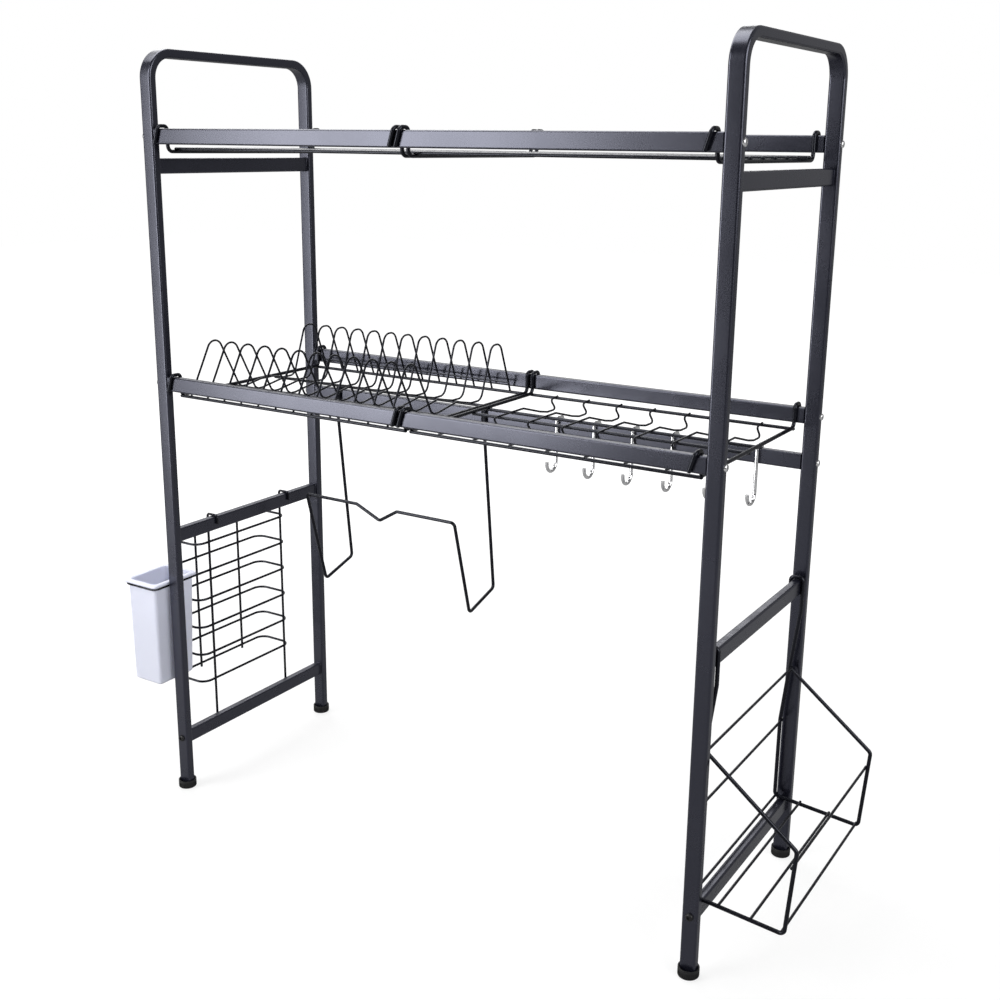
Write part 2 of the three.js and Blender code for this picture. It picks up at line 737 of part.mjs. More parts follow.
// Corners of the side basket's end frames, in the plane across the rack.
function sideFrame() {
  const hook = hookCorners(RIGHT_X, MID_BAR_Z, 1, SIDE_WIRE, HOOK_LEG);
  const straightEnd = MID_BAR_Z - BAR_TALL / 2 - SIDE_STRAIGHT;
  const shoulder = [hook.far - SIDE_SHOULDER_LEAN, straightEnd - SIDE_SHOULDER_DROP];
  const knee = [shoulder[0] - SIDE_KNEE_LEAN, shoulder[1] - SIDE_KNEE_DROP];
  const barEdge = RIGHT_X + BAR_THIN / 2;
  const slope = SIDE_FLOOR_FALL / SIDE_FLOOR_WIDE;
  const floorZ = LOW_BAR_Z + BAR_TALL / 2 + SIDE_CLEAR + SIDE_WIRE / 2 + slope * (barEdge - knee[0]);
  const heel = [knee[0], floorZ];
  const toe = [knee[0] + SIDE_FLOOR_WIDE, floorZ - SIDE_FLOOR_FALL];
  const lip = [toe[0] + SIDE_OUTER_LEAN, toe[1] + SIDE_OUTER_RISE];
  return { hook, straightEnd, shoulder, knee, heel, toe, lip };
}

const between = (a, b, share) => a.map((value, i) => value + (b[i] - value) * share);

// Two end frames hooked over the right middle crossbar, joined by seven straight wires.
function buildSideBasket() {
  const { hook, straightEnd, shoulder, knee, heel, toe, lip } = sideFrame();
  const ends = [TUBE_THIN + SIDE_END_GAP, RACK_DEEP - TUBE_THIN - SIDE_END_GAP];
  const slope = Math.hypot(lip[0] - shoulder[0], lip[1] - shoulder[1]);
  const short = between(shoulder, lip, SIDE_BEAD / slope);
  const beadAt = between(shoulder, lip, SIDE_BEAD / 2 / slope);
  const pieces = [];
  for (const y of ends) {
    const at = ([x, z, bend]) => [x, y, z, bend];
    const frameRun = [
      [hook.near, hook.end],
      [hook.near, hook.crown, hook.bend],
      [hook.far, hook.crown, hook.bend],
      [hook.far, straightEnd],
      shoulder,
      knee,
      heel,
      toe,
      lip,
      short,
    ];
    pieces.push(wire(frameRun.map(at), SIDE_WIRE, SIDE_BEND));
    pieces.push(new THREE.IcosahedronGeometry(SIDE_BEAD / 2, 0).translate(beadAt[0], y, beadAt[1]));
  }
  const inward = (SIDE_WIRE + SIDE_LONG_WIRE) / 2 - WELD;
  const floorAt = (share) => between(heel, toe, share);
  const outer = between(toe, lip, SIDE_OUTER_WIRE_SHARE);
  const places = [
    [shoulder[0] + inward, shoulder[1]],
    [knee[0] + inward, knee[1]],
    [heel[0] + inward, heel[1] + inward],
    ...SIDE_FLOOR_WIRE_SHARES.map((share) => [floorAt(share)[0], floorAt(share)[1] + inward]),
    [toe[0] - inward, toe[1] + inward],
    [outer[0] - inward, outer[1]],
  ];
  const y0 = ends[0] - SIDE_WIRE / 2;
  const y1 = ends[1] + SIDE_WIRE / 2;
  for (const [x, z] of places) pieces.push(wire([[x, y0, z], [x, y1, z]], SIDE_LONG_WIRE));
  add("side_basket", fused(pieces), wireBlack());
}

const sides = [["left", -1, LEFT_X], ["right", 1, RIGHT_X]];
const depths = [["front", -1, FRONT_LEG_Y, FRONT_RAIL_Y], ["rear", 1, REAR_LEG_Y, REAR_RAIL_Y]];

for (const [sideName, , x] of sides) {
  buildHoop(`${sideName}_hoop`, x);
  buildCrossbar(`${sideName}_upper_crossbar`, x, UPPER_BAR_Z);
  buildCrossbar(`${sideName}_middle_crossbar`, x, MID_BAR_Z);
  buildCrossbar(`${sideName}_lower_crossbar`, x, LOW_BAR_Z);
}
for (const [depthName, , , y] of depths) {
  buildRail(`${depthName}_upper_rail`, y, UPPER_RAIL_Z);
  buildRail(`${depthName}_lower_rail`, y, LOWER_RAIL_Z);
}
buildRail("hook_rail", REAR_RAIL_Y, HOOK_RAIL_Z);
for (const [sideName, side, x] of sides) {
  for (const [depthName, toward, y] of depths) {
    buildFoot(`${depthName}_${sideName}_foot`, x, y);
    buildScrew(`${depthName}_${sideName}_upper_screw`, side, y, UPPER_RAIL_Z);
    buildScrew(`${depthName}_${sideName}_lower_screw`, side, y, LOWER_RAIL_Z);
    buildBolt(`${depthName}_${sideName}_bolt`, toward, x);
  }
  buildScrew(`${sideName}_hook_rail_screw`, side, REAR_LEG_Y, HOOK_RAIL_Z);
  buildShelf(`${sideName}_shelf`, side);
}
buildPlateRack();
buildBowlRack();
buildBoardHolder();
for (let number = 1; number <= HOOK_COUNT; number += 1) buildHook(number);
buildCutleryBasket();
buildCup();
buildSideBasket();

const box = new THREE.Box3().setFromObject(rack);
const centre = box.getCenter(new THREE.Vector3());
rack.position.set(-centre.x, -centre.y, -box.min.z);

export default rack;
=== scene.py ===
"""Looks of the over sink dish rack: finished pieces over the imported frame, and the studio."""
import logging
import math
from contextlib import contextmanager
from dataclasses import dataclass
from enum import Enum
from typing import Callable, Iterator, Sequence

import bmesh
import bpy
from mathutils import Euler, Matrix, Vector


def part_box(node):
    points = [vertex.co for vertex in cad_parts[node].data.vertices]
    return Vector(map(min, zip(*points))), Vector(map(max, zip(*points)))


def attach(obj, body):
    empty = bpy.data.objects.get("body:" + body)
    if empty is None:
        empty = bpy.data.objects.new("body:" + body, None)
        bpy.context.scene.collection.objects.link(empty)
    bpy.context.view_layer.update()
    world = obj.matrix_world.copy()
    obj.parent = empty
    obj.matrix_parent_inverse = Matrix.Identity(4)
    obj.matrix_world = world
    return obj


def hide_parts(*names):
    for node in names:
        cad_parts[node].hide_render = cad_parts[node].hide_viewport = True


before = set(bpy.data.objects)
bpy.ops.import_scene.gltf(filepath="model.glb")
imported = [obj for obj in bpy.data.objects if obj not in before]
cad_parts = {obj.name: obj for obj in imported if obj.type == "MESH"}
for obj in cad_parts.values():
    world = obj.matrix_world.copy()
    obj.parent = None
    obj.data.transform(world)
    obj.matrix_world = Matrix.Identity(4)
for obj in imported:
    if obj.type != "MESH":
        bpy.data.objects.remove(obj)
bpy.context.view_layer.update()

LOG = logging.getLogger("dish_rack")
MM = 0.001
DIP_COAT = 0.5
SQUARE_ON = 0.99
SAME_SPOT = 0.000001
MESH_MERGE = 0.00001
PATH_MERGE = 0.00004
WIRE_END_EASE = 0.16
LEAST_BEND = 0.05
BEND_SHARE = 0.499
CORNER_STEPS = 5
STOUT = {"rings": 5, "steps": 8}
SLIM_RINGS = 3
LEVEL_ANGLE = 40.0
BEAD_SMOOTHING = 0.3
MIX_FIRST, MIX_SECOND, MIX_RESULT = 6, 7, 2
CORNER = Vector((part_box("left_hoop")[0].x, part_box("left_hoop")[0].y, 0.0))
Piece = bpy.types.Object
Spot = tuple[float, float, float]
Span = tuple[float, float]
Quad = tuple[float, float, float, float]
Colour = Quad
UNSCALED: Spot = (1.0, 1.0, 1.0)
WHITE: Colour = (1.0, 1.0, 1.0, 1.0)


class Side(Enum):
    """The two sides of the rack, seen from the front."""

    LEFT = -1
    RIGHT = 1


class Depth(Enum):
    """The front and the rear of the rack."""

    FRONT = -1
    REAR = 1


class Along(Enum):
    """The way a straight bar or a screw runs."""

    ACROSS = 0
    FORE_AND_AFT = 1


class Drive(Enum):
    """The recess in a fastener's head, and how many sides it has or makes."""

    CROSS = 4
    HEXAGON = 6


# Modelling bench


def place(x: float, y: float, z: float) -> Vector:
    """Gives a place in metres in the row frame.

    Args:
        x: Millimetres from the left hoop's outer face.
        y: Millimetres from the hoops' front faces.
        z: Millimetres from the worktop.

    Returns:
        The place as the finished scene holds it.
    """
    return CORNER + Vector((x, y, z)) * MM


def activate(thing: Piece) -> None:
    """Leaves one object alone selected and active, in object mode.

    Args:
        thing: The object to work on.
    """
    if bpy.context.mode != "OBJECT":
        bpy.ops.object.mode_set(mode="OBJECT")
    bpy.ops.object.select_all(action="DESELECT")
    thing.select_set(True)
    bpy.context.view_layer.objects.active = thing


@contextmanager
def editing(thing: Piece, kind: str = "VERT") -> Iterator[None]:
    """Opens an object in edit mode with everything in it selected.

    Args:
        thing: The object to edit.
        kind: What is picked inside: VERT, EDGE or FACE.
    """
    activate(thing)
    bpy.ops.object.mode_set(mode="EDIT")
    bpy.ops.mesh.select_mode(type=kind)
    bpy.ops.mesh.select_all(action="SELECT")
    yield
    bpy.ops.object.mode_set(mode="OBJECT")


def primitive(add: Callable[..., set[str]], scale: Spot = UNSCALED, **settings: object) -> Piece:
    """Adds a primitive and puts its place, turn and size into its mesh.

    Args:
        add: Blender's operator that adds it.
        scale: How it is stretched along its own axes.
        **settings: The operator's settings.

    Returns:
        The primitive.
    """
    add(**settings)
    thing = bpy.context.object
    thing.scale = scale
    activate(thing)
    bpy.ops.object.transform_apply(location=True, rotation=True, scale=True)
    return thing


def bevel(reach: float, segments: int, affect: str = "EDGES") -> None:
    """Rounds what is selected in edit mode.

    Args:
        reach: How far the rounding goes, in millimetres.
        segments: How many steps it has.
        affect: What is rounded: EDGES or VERTICES.
    """
    bpy.ops.mesh.bevel(offset=reach * MM, segments=segments, affect=affect)


def extrude(step: Sequence[float]) -> None:
    """Extrudes the selected faces by a step in metres."""
    bpy.ops.mesh.extrude_region_move(TRANSFORM_OT_translate={"value": step})


def pick(thing: Piece, kind: str, test: Callable[..., bool]) -> None:
    """Selects the parts of a mesh in edit mode that pass a test, and no others.

    Args:
        thing: The object that is being edited.
        kind: Which parts are tested: verts, edges or faces.
        test: Says whether one part is selected.
    """
    mesh = bmesh.from_edit_mesh(thing.data)
    for part in [*mesh.faces, *mesh.edges, *mesh.verts]:
        part.select_set(False)
    for part in getattr(mesh, kind):
        if test(part):
            part.select_set(True)
    mesh.select_flush_mode()
    bmesh.update_edit_mesh(thing.data)


def tidied(thing: Piece) -> Piece:
    """Merges a mesh's doubles and turns its faces outwards.

    Args:
        thing: The object to tidy.

    Returns:
        The same object.
    """
    with editing(thing):
        bpy.ops.mesh.remove_doubles(threshold=MESH_MERGE)
        bpy.ops.mesh.normals_make_consistent(inside=False)
    return thing


def smoothed(thing: Piece, degrees: float = 35.0) -> Piece:
    """Shades an object smooth except at edges sharper than an angle.

    Args:
        thing: The object to shade.
        degrees: The angle past which an edge stays sharp.

    Returns:
        The same object.
    """
    activate(thing)
    bpy.ops.object.shade_smooth_by_angle(angle=math.radians(degrees))
    return thing


def add_modifier(thing: Piece, kind: str, **settings: object) -> None:
    """Adds a modifier to an object and applies it.

    Args:
        thing: The object to change.
        kind: Blender's name of the modifier.
        **settings: The modifier's properties.
    """
    activate(thing)
    bpy.ops.object.modifier_add(type=kind)
    modifier = thing.modifiers[-1]
    for name, value in settings.items():
        setattr(modifier, name, value)
    bpy.ops.object.modifier_apply(modifier=modifier.name)


def levelled(thing: Piece) -> Piece:
    """Shades an object so that its large faces stay flat up to their rounded edges.

    Args:
        thing: The object to shade.

    Returns:
        The same object.
    """
    smoothed(thing, LEVEL_ANGLE)
    add_modifier(thing, "WEIGHTED_NORMAL", mode="FACE_AREA", weight=100, keep_sharp=True)
    return thing


def joined(parts: Sequence[Piece], name: str) -> Piece:
    """Joins several objects into one piece.

    Args:
        parts: The objects; the first takes in the others.
        name: The finished piece's name.

    Returns:
        The piece.
    """
    activate(parts[0])
    for part in parts:
        part.select_set(True)
    if len(parts) > 1:
        bpy.ops.object.join()
    parts[0].name = name
    return parts[0]


def copies(thing: Piece, shifts: Sequence[Spot]) -> list[Piece]:
    """Copies an object once for each shift, each copy with a mesh of its own.

    Args:
        thing: The object to copy, which stays where it is.
        shifts: How far each copy is moved, in millimetres.

    Returns:
        The copies.
    """
    made = []
    for shift in shifts:
        activate(thing)
        bpy.ops.object.duplicate(linked=False)
        bpy.ops.transform.translate(value=Vector(shift) * MM)
        bpy.ops.object.transform_apply(location=True, rotation=True, scale=True)
        made.append(bpy.context.object)
    return made


def round_tube(thing: Piece, thick: float, rings: int, capped: bool) -> Piece:
    """Turns a path of edges into a round wire.

    Args:
        thing: The path.
        thick: The wire's diameter in millimetres.
        rings: Blender's bevel resolution, which sets how round the wire is.
        capped: Whether the path is open, so that the ends are closed and eased.

    Returns:
        The wire.
    """
    activate(thing)
    bpy.ops.object.convert(target="CURVE")
    wire = bpy.context.object
    wire.data.bevel_depth = thick / 2 * MM
    wire.data.bevel_resolution = rings
    wire.data.use_fill_caps = capped
    bpy.ops.object.convert(target="MESH")
    wire = tidied(bpy.context.object)
    if capped:
        with editing(wire, "FACE"):
            pick(wire, "faces", lambda face: len(face.verts) > 4)
            bevel(thick * WIRE_END_EASE, 2)
    return smoothed(wire)


@dataclass
class BentWire:
    """A wire that runs straight between corners, each rounded to a radius of its own.

    The dip coat adds to the steel's diameter; a bright wire has none.
    """

    thick: float
    corners: list[tuple[float, ...]]
    radius: float = 0.0
    rings: int = 4
    steps: int = 7
    coat: float = DIP_COAT

    def bends(self) -> dict[float, list[Vector]]:
        """Groups the inner corners by how far their bend reaches along the wire.

        Returns:
            The corners' places for each reach, in metres.
        """
        spots = [Vector(corner[:3]) for corner in self.corners]
        last = len(spots) - 1
        groups: dict[float, list[Vector]] = {}
        for i in range(1, last):
            before, here, after = spots[i - 1 : i + 2]
            turn = (here - before).angle(after - here)
            radius = self.corners[i][3] if len(self.corners[i]) > 3 else self.radius
            room_before = (here - before).length * (1.0 if i == 1 else BEND_SHARE)
            room_after = (after - here).length * (1.0 if i == last - 1 else BEND_SHARE)
            reach = min(radius * math.tan(turn / 2), room_before, room_after)
            if reach > LEAST_BEND:
                groups.setdefault(round(reach, 4), []).append(place(*here))
        return groups

    def make(self) -> Piece:
        """Extrudes a point along the corners, bevels them and gives the path its thickness.

        Returns:
            The wire as one object.
        """
        start = place(*self.corners[0][:3])
        path = primitive(bpy.ops.mesh.primitive_plane_add, size=MM, location=start)
        with editing(path):
            bpy.ops.mesh.merge(type="CENTER")
            for here, after in zip(self.corners, self.corners[1:]):
                step = (Vector(after[:3]) - Vector(here[:3])) * MM
                bpy.ops.mesh.extrude_vertices_move(TRANSFORM_OT_translate={"value": step})
            for reach, spots in self.bends().items():
                pick(path, "verts", lambda vert: any((vert.co - s).length < SAME_SPOT for s in spots))
                bevel(reach, self.steps, "VERTICES")
            bpy.ops.mesh.select_all(action="SELECT")
            bpy.ops.mesh.remove_doubles(threshold=PATH_MERGE)
        return round_tube(path, self.thick + self.coat, self.rings, capped=True)


@dataclass
class WireLoop:
    """A closed level loop of wire, bent to a rounded rectangle."""

    thick: float
    low: Span
    high: Span
    z: float
    corner: float
    front_corner: float
    steps: int = 8

    def make(self) -> Piece:
        """Rounds a plane's corners and turns its rim into wire.

        Returns:
            The loop as one object.
        """
        wide, deep = self.high[0] - self.low[0], self.high[1] - self.low[1]
        middle = place((self.low[0] + self.high[0]) / 2, (self.low[1] + self.high[1]) / 2, self.z)
        rim = primitive(bpy.ops.mesh.primitive_plane_add, (wide, deep, 1.0), size=MM, location=middle)
        with editing(rim):
            pick(rim, "verts", lambda vert: vert.co.y > middle.y)
            bevel(self.corner, self.steps, "VERTICES")
            pick(rim, "verts", lambda vert: vert.co.y < middle.y)
            bevel(self.front_corner, self.steps, "VERTICES")
            bpy.ops.mesh.select_all(action="SELECT")
            bpy.ops.mesh.delete(type="ONLY_FACE")
        return round_tube(rim, self.thick + DIP_COAT, rings=SLIM_RINGS, capped=False)


@dataclass
class Bar:
    """A straight flat tube with rounded edges, closed at its ends."""

    length: float
    tall: float
    thin: float
    fillet: float
    along: Along
    end_ease: float = 0.35

    def make(self, x: float, y: float, z: float) -> Piece:
        """Sizes a block to the bar and rounds its four long edges and its ends.

        Args:
            x: The bar's middle, in millimetres across the rack.
            y: The bar's middle, from the front.
            z: The bar's middle, from the worktop.

        Returns:
            The bar.
        """
        across = self.along is Along.ACROSS
        size = (self.length, self.thin, self.tall) if across else (self.thin, self.length, self.tall)
        bar = primitive(bpy.ops.mesh.primitive_cube_add, size, size=MM, location=place(x, y, z))
        way = Vector((1, 0, 0)) if across else Vector((0, 1, 0))

        def runs_along(edge: bmesh.types.BMEdge) -> bool:
            """Says whether an edge runs along the bar."""
            return abs((edge.verts[0].co - edge.verts[1].co).normalized().dot(way)) > SQUARE_ON

        with editing(bar, "EDGE"):
            pick(bar, "edges", runs_along)
            bevel(self.fillet, CORNER_STEPS)
            pick(bar, "faces", lambda face: abs(face.normal.dot(way)) > SQUARE_ON)
            bevel(self.end_ease, 2)
        return levelled(bar)


def weld_beads(spots: Sequence[Spot], wide: float, flat: float = 0.8) -> list[Piece]:
    """Sets small welds where wires cross.

    Args:
        spots: The welds' middles, in rack millimetres.
        wide: Their width in millimetres.
        flat: Their height as a share of their width.

    Returns:
        One object for each weld.
    """
    add, where = bpy.ops.mesh.primitive_ico_sphere_add, place(*spots[0])
    bead = primitive(add, (1.0, 1.0, flat), subdivisions=2, radius=wide / 2 * MM, location=where)
    with editing(bead):
        bpy.ops.mesh.vertices_smooth(factor=BEAD_SMOOTHING)
    smoothed(bead)
    first = Vector(spots[0])
    return [bead, *copies(bead, [tuple(Vector(spot) - first) for spot in spots[1:]])]


# Finishes


class Amount:
    """A number that varies over a surface; arithmetic on it adds Math nodes."""

    def __init__(self, nodes: "Nodes", socket: bpy.types.NodeSocket) -> None:
        """Wraps a socket.

        Args:
            nodes: The node tree that it belongs to.
            socket: The node output that gives the number.
        """
        self.nodes = nodes
        self.socket = socket

    def _with(self, operation: str, first: object, second: object) -> "Amount":
        """Adds one Math node over two numbers or amounts and gives its result."""
        node = self.nodes.node("ShaderNodeMath", {"operation": operation}, {0: first, 1: second})
        return Amount(self.nodes, node.outputs[0])

    def __add__(self, other: object) -> "Amount":
        """Adds."""
        return self._with("ADD", self, other)

    __radd__ = __add__

    def __mul__(self, other: object) -> "Amount":
        """Multiplies."""
        return self._with("MULTIPLY", self, other)

    __rmul__ = __mul__

    def __sub__(self, other: object) -> "Amount":
        """Subtracts another from this one."""
        return self._with("SUBTRACT", self, other)

    def __rsub__(self, other: object) -> "Amount":
        """Subtracts this one from another."""
        return self._with("SUBTRACT", other, self)

    def around(self, share: float) -> "Amount":
        """Gives a share of how far the amount is from its usual middle, a half."""
        return (self - 0.5) * share

    def above(self, edge: float, soft: float) -> "Amount":
        """Gives 0 below an edge and 1 above it, with a soft change between.

        Args:
            edge: Where the change starts.
            soft: How far the change goes on.

        Returns:
            The mask.
        """
        node = self.nodes.node(
            "ShaderNodeMapRange",
            {"interpolation_type": "SMOOTHSTEP"},
            {"Value": self, "From Min": edge, "From Max": edge + soft},
        )
        return Amount(self.nodes, node.outputs[0])


class Nodes:
    """A node tree, with one way to add a node to it."""

    def __init__(self, tree: bpy.types.NodeTree) -> None:
        """Takes over a node tree.

        Args:
            tree: The tree.
        """
        self.tree = tree

    def node(
        self,
        kind: str,
        settings: dict[str, object] | None = None,
        inputs: dict[str | int, object] | None = None,
    ) -> bpy.types.Node:
        """Adds a node.

        Args:
            kind: Blender's name of the node's type.
            settings: Its properties, which are set first.
            inputs: Values, sockets or amounts for its inputs.

        Returns:
            The node.
        """
        node = self.tree.nodes.new(kind)
        for name, value in (settings or {}).items():
            setattr(node, name, value)
        for name, value in (inputs or {}).items():
            self.feed(node.inputs[name], value)
        return node

    def feed(self, socket: bpy.types.NodeSocket, value: object) -> None:
        """Links or sets one input.

        Args:
            socket: The input.
            value: A value, a node's output or an amount.
        """
        if isinstance(value, Amount):
            value = value.socket
        if isinstance(value, bpy.types.NodeSocket):
            self.tree.links.new(value, socket)
        else:
            socket.default_value = value


@dataclass(frozen=True)
class Pattern:
    """A cloudy pattern: its clouds on a metre, its finer layers and how its space is scaled."""

    per_metre: float
    detail: float = 2.0
    stretch: Spot = UNSCALED


class Recipe(Nodes):
    """One material's nodes, around a Principled shader."""

    def __init__(self, name: str) -> None:
        """Starts an empty material.

        Args:
            name: The material's name.
        """
        self.material = bpy.data.materials.new(name)
        self.material.use_nodes = True
        super().__init__(self.material.node_tree)
        self.tree.nodes.clear()
        self.shader = self.node("ShaderNodeBsdfPrincipled")
        self.node("ShaderNodeOutputMaterial", None, {"Surface": self.shader.outputs[0]})
        self.here = self.node("ShaderNodeTexCoord").outputs["Object"]

    def wear(self, inputs: dict[str, object]) -> bpy.types.Material:
        """Sets or links inputs of the shader.

        Args:
            inputs: Values, sockets or amounts for them.

        Returns:
            The material.
        """
        for name, value in inputs.items():
            self.feed(self.shader.inputs[name], value)
        return self.material

    def noise(self, pattern: Pattern) -> Amount:
        """Adds a cloudy pattern on object coordinates.

        Args:
            pattern: The pattern.

        Returns:
            It as an amount, about 0 to 1.
        """
        mapped = self.node("ShaderNodeMapping", None, {"Vector": self.here, "Scale": pattern.stretch})
        inputs = {"Vector": mapped.outputs[0], "Scale": pattern.per_metre, "Detail": pattern.detail}
        return Amount(self, self.node("ShaderNodeTexNoise", None, inputs).outputs[0])

    def facing_up(self) -> Amount:
        """Gives 1 where the surface faces up, and less as it turns away."""
        normal = self.node("ShaderNodeTexCoord").outputs["Normal"]
        parts = self.node("ShaderNodeSeparateXYZ", None, {0: normal})
        return Amount(self, parts.outputs["Z"])

    def settled(self, faces_up: Span, dusting: Pattern, patch: Span) -> Amount:
        """Gives where dust has settled.

        Args:
            faces_up: From where, and how softly, a face counts as facing up.
            dusting: The dust's pattern.
            patch: From where, and how softly, the pattern is dusty.

        Returns:
            The mask.
        """
        return self.facing_up().above(*faces_up) * self.noise(dusting).above(*patch)

    def blend(self, share: Amount, first: object, second: object) -> bpy.types.NodeSocket:
        """Mixes two colours.

        Args:
            share: How much of the second shows.
            first: A colour or a socket that gives one.
            second: The other colour.

        Returns:
            The mixed colour's socket.
        """
        settings = {"data_type": "RGBA", "clamp_factor": True}
        inputs = {0: share, MIX_FIRST: first, MIX_SECOND: second}
        return self.node("ShaderNodeMix", settings, inputs).outputs[MIX_RESULT]

    def relief(self, height: Amount, depth_mm: float, strength: float) -> None:
        """Bumps the surface.

        Args:
            height: The relief, 0 to 1.
            depth_mm: How deep it is.
            strength: How strongly it shows.
        """
        inputs = {"Height": height, "Distance": depth_mm * MM, "Strength": strength}
        bump = self.node("ShaderNodeBump", None, inputs)
        self.wear({"Normal": bump.outputs[0]})


@dataclass(frozen=True)
class PowderCoat:
    """Satin black powder coat on tube: a fine orange peel, faint clouds and a trace of dust."""

    dark: Colour = (0.0045, 0.0048, 0.0095, 1.0)
    pale: Colour = (0.009, 0.0094, 0.016, 1.0)
    dust: Colour = (0.05, 0.05, 0.055, 1.0)
    fleck: Colour = (0.04, 0.04, 0.043, 1.0)
    sheen: Colour = (0.8, 0.82, 1.0, 1.0)
    roughness: float = 0.27
    specular: float = 1.0
    peel: Pattern = Pattern(620.0, 3.0)
    clouds: Pattern = Pattern(14.0, 4.0)
    flecks: Pattern = Pattern(1900.0, 1.0)
    dusting: Pattern = Pattern(60.0, 5.0)
    faces_up: Span = (0.55, 0.4)
    dust_patch: Span = (0.4, 0.35)
    fleck_patch: Span = (0.66, 0.12)
    shown: Quad = (0.6, 0.4, 0.25, 0.22)
    felt: Spot = (0.16, 0.04, 0.12)
    deep_mm: float = 0.03
    strength: float = 0.11

    def material(self) -> bpy.types.Material:
        """Builds the material; shown and felt are the patterns' shares of colour and roughness."""
        recipe = Recipe("powder_coat")
        peel, clouds = recipe.noise(self.peel), recipe.noise(self.clouds)
        flecks = recipe.noise(self.flecks).above(*self.fleck_patch)
        settled = recipe.settled(self.faces_up, self.dusting, self.dust_patch)
        by_clouds, by_peel, by_flecks, by_dust = self.shown
        base = recipe.blend(clouds * by_clouds + peel * by_peel, self.dark, self.pale)
        base = recipe.blend(flecks * by_flecks, base, self.fleck)
        base = recipe.blend(settled * by_dust, base, self.dust)
        by_clouds, by_peel, by_dust = self.felt
        rough = clouds.around(by_clouds) + peel.around(by_peel) + settled * by_dust + self.roughness
        recipe.relief(peel, self.deep_mm, self.strength)
        gloss = {"Specular IOR Level": self.specular, "Specular Tint": self.sheen}
        return recipe.wear({"Base Color": base, "Roughness": rough, **gloss})


@dataclass(frozen=True)
class DipCoat:
    """Black coating on wire, slightly glossier than the tubes', with soft runs along it."""

    dark: Colour = (0.0024, 0.0025, 0.004, 1.0)
    pale: Colour = (0.005, 0.0052, 0.008, 1.0)
    dust: Colour = (0.07, 0.07, 0.07, 1.0)
    sheen: Colour = (0.82, 0.85, 1.0, 1.0)
    roughness: float = 0.26
    specular: float = 0.34
    runs: Pattern = Pattern(210.0)
    grain: Pattern = Pattern(1500.0)
    clouds: Pattern = Pattern(22.0, 3.0)
    dusting: Pattern = Pattern(90.0, 4.0)
    faces_up: Span = (0.6, 0.35)
    dust_patch: Span = (0.45, 0.3)
    shown: Spot = (0.5, 0.5, 0.15)
    felt: Spot = (0.18, 0.08, 0.1)
    raised: Span = (0.7, 0.3)
    deep_mm: float = 0.07
    strength: float = 0.4

    def material(self) -> bpy.types.Material:
        """Builds the material; shown, felt and raised are the patterns' shares of each effect."""
        recipe = Recipe("dip_coat")
        runs, grain = recipe.noise(self.runs), recipe.noise(self.grain)
        settled = recipe.settled(self.faces_up, self.dusting, self.dust_patch)
        by_clouds, by_runs, by_dust = self.shown
        base = recipe.blend(recipe.noise(self.clouds) * by_clouds + runs * by_runs, self.dark, self.pale)
        base = recipe.blend(settled * by_dust, base, self.dust)
        by_runs, by_grain, by_dust = self.felt
        rough = runs.around(by_runs) + grain.around(by_grain) + settled * by_dust + self.roughness
        by_runs, by_grain = self.raised
        recipe.relief(runs * by_runs + grain * by_grain, self.deep_mm, self.strength)
        gloss = {"Specular IOR Level": self.specular, "Specular Tint": self.sheen}
        return recipe.wear({"Base Color": base, "Roughness": rough, **gloss})


@dataclass(frozen=True)
class MouldedBlack:
    """Matte moulded plastic or rubber with a fine spark-eroded texture and scuffs."""

    name: str = "moulded_black"
    dark: Colour = (0.0075, 0.0075, 0.0085, 1.0)
    scuff: Colour = (0.035, 0.035, 0.035, 1.0)
    roughness: float = 0.58
    specular: float = 0.4
    texture: Pattern = Pattern(1400.0, 3.0)
    scuffs: Pattern = Pattern(160.0, 5.0, (1.0, 1.0, 3.0))
    scuff_patch: Span = (0.56, 0.16)
    shown: Span = (0.4, 0.15)
    felt: Span = (0.12, 0.2)
    deep_mm: float = 0.06
    strength: float = 0.5

    def material(self) -> bpy.types.Material:
        """Builds the material; shown and felt are the patterns' shares of colour and roughness."""
        recipe = Recipe(self.name)
        texture = recipe.noise(self.texture)
        scuffs = recipe.noise(self.scuffs).above(*self.scuff_patch)
        by_scuffs, by_texture = self.shown
        base = recipe.blend(scuffs * by_scuffs + texture * by_texture, self.dark, self.scuff)
        by_scuffs, by_texture = self.felt
        rough = texture.around(by_texture) + scuffs * by_scuffs + self.roughness
        recipe.relief(texture, self.deep_mm, self.strength)
        return recipe.wear({"Base Color": base, "Roughness": rough, "Specular IOR Level": self.specular})


@dataclass(frozen=True)
class BrightPlate:
    """Bright plated steel: mirror-like, with faint drawing lines and hazy patches."""

    name: str
    roughness: float
    bright: Colour = (0.95, 0.95, 0.96, 1.0)
    hazy: Colour = (0.82, 0.82, 0.84, 1.0)
    drawn: Pattern = Pattern(1500.0, 2.0, (1.0, 1.0, 0.08))
    haze: Pattern = Pattern(240.0, 4.0)
    haze_patch: Span = (0.42, 0.3)
    felt: Span = (0.16, 0.08)
    deep_mm: float = 0.02
    strength: float = 0.3

    def material(self) -> bpy.types.Material:
        """Builds the material; felt is the patterns' shares of roughness."""
        recipe = Recipe(self.name)
        drawn, haze = recipe.noise(self.drawn), recipe.noise(self.haze)
        base = recipe.blend(haze.above(*self.haze_patch), self.bright, self.hazy)
        by_haze, by_lines = self.felt
        rough = haze.around(by_haze) + drawn.around(by_lines) + self.roughness
        recipe.relief(drawn, self.deep_mm, self.strength)
        return recipe.wear({"Base Color": base, "Roughness": rough, "Metallic": 1.0})


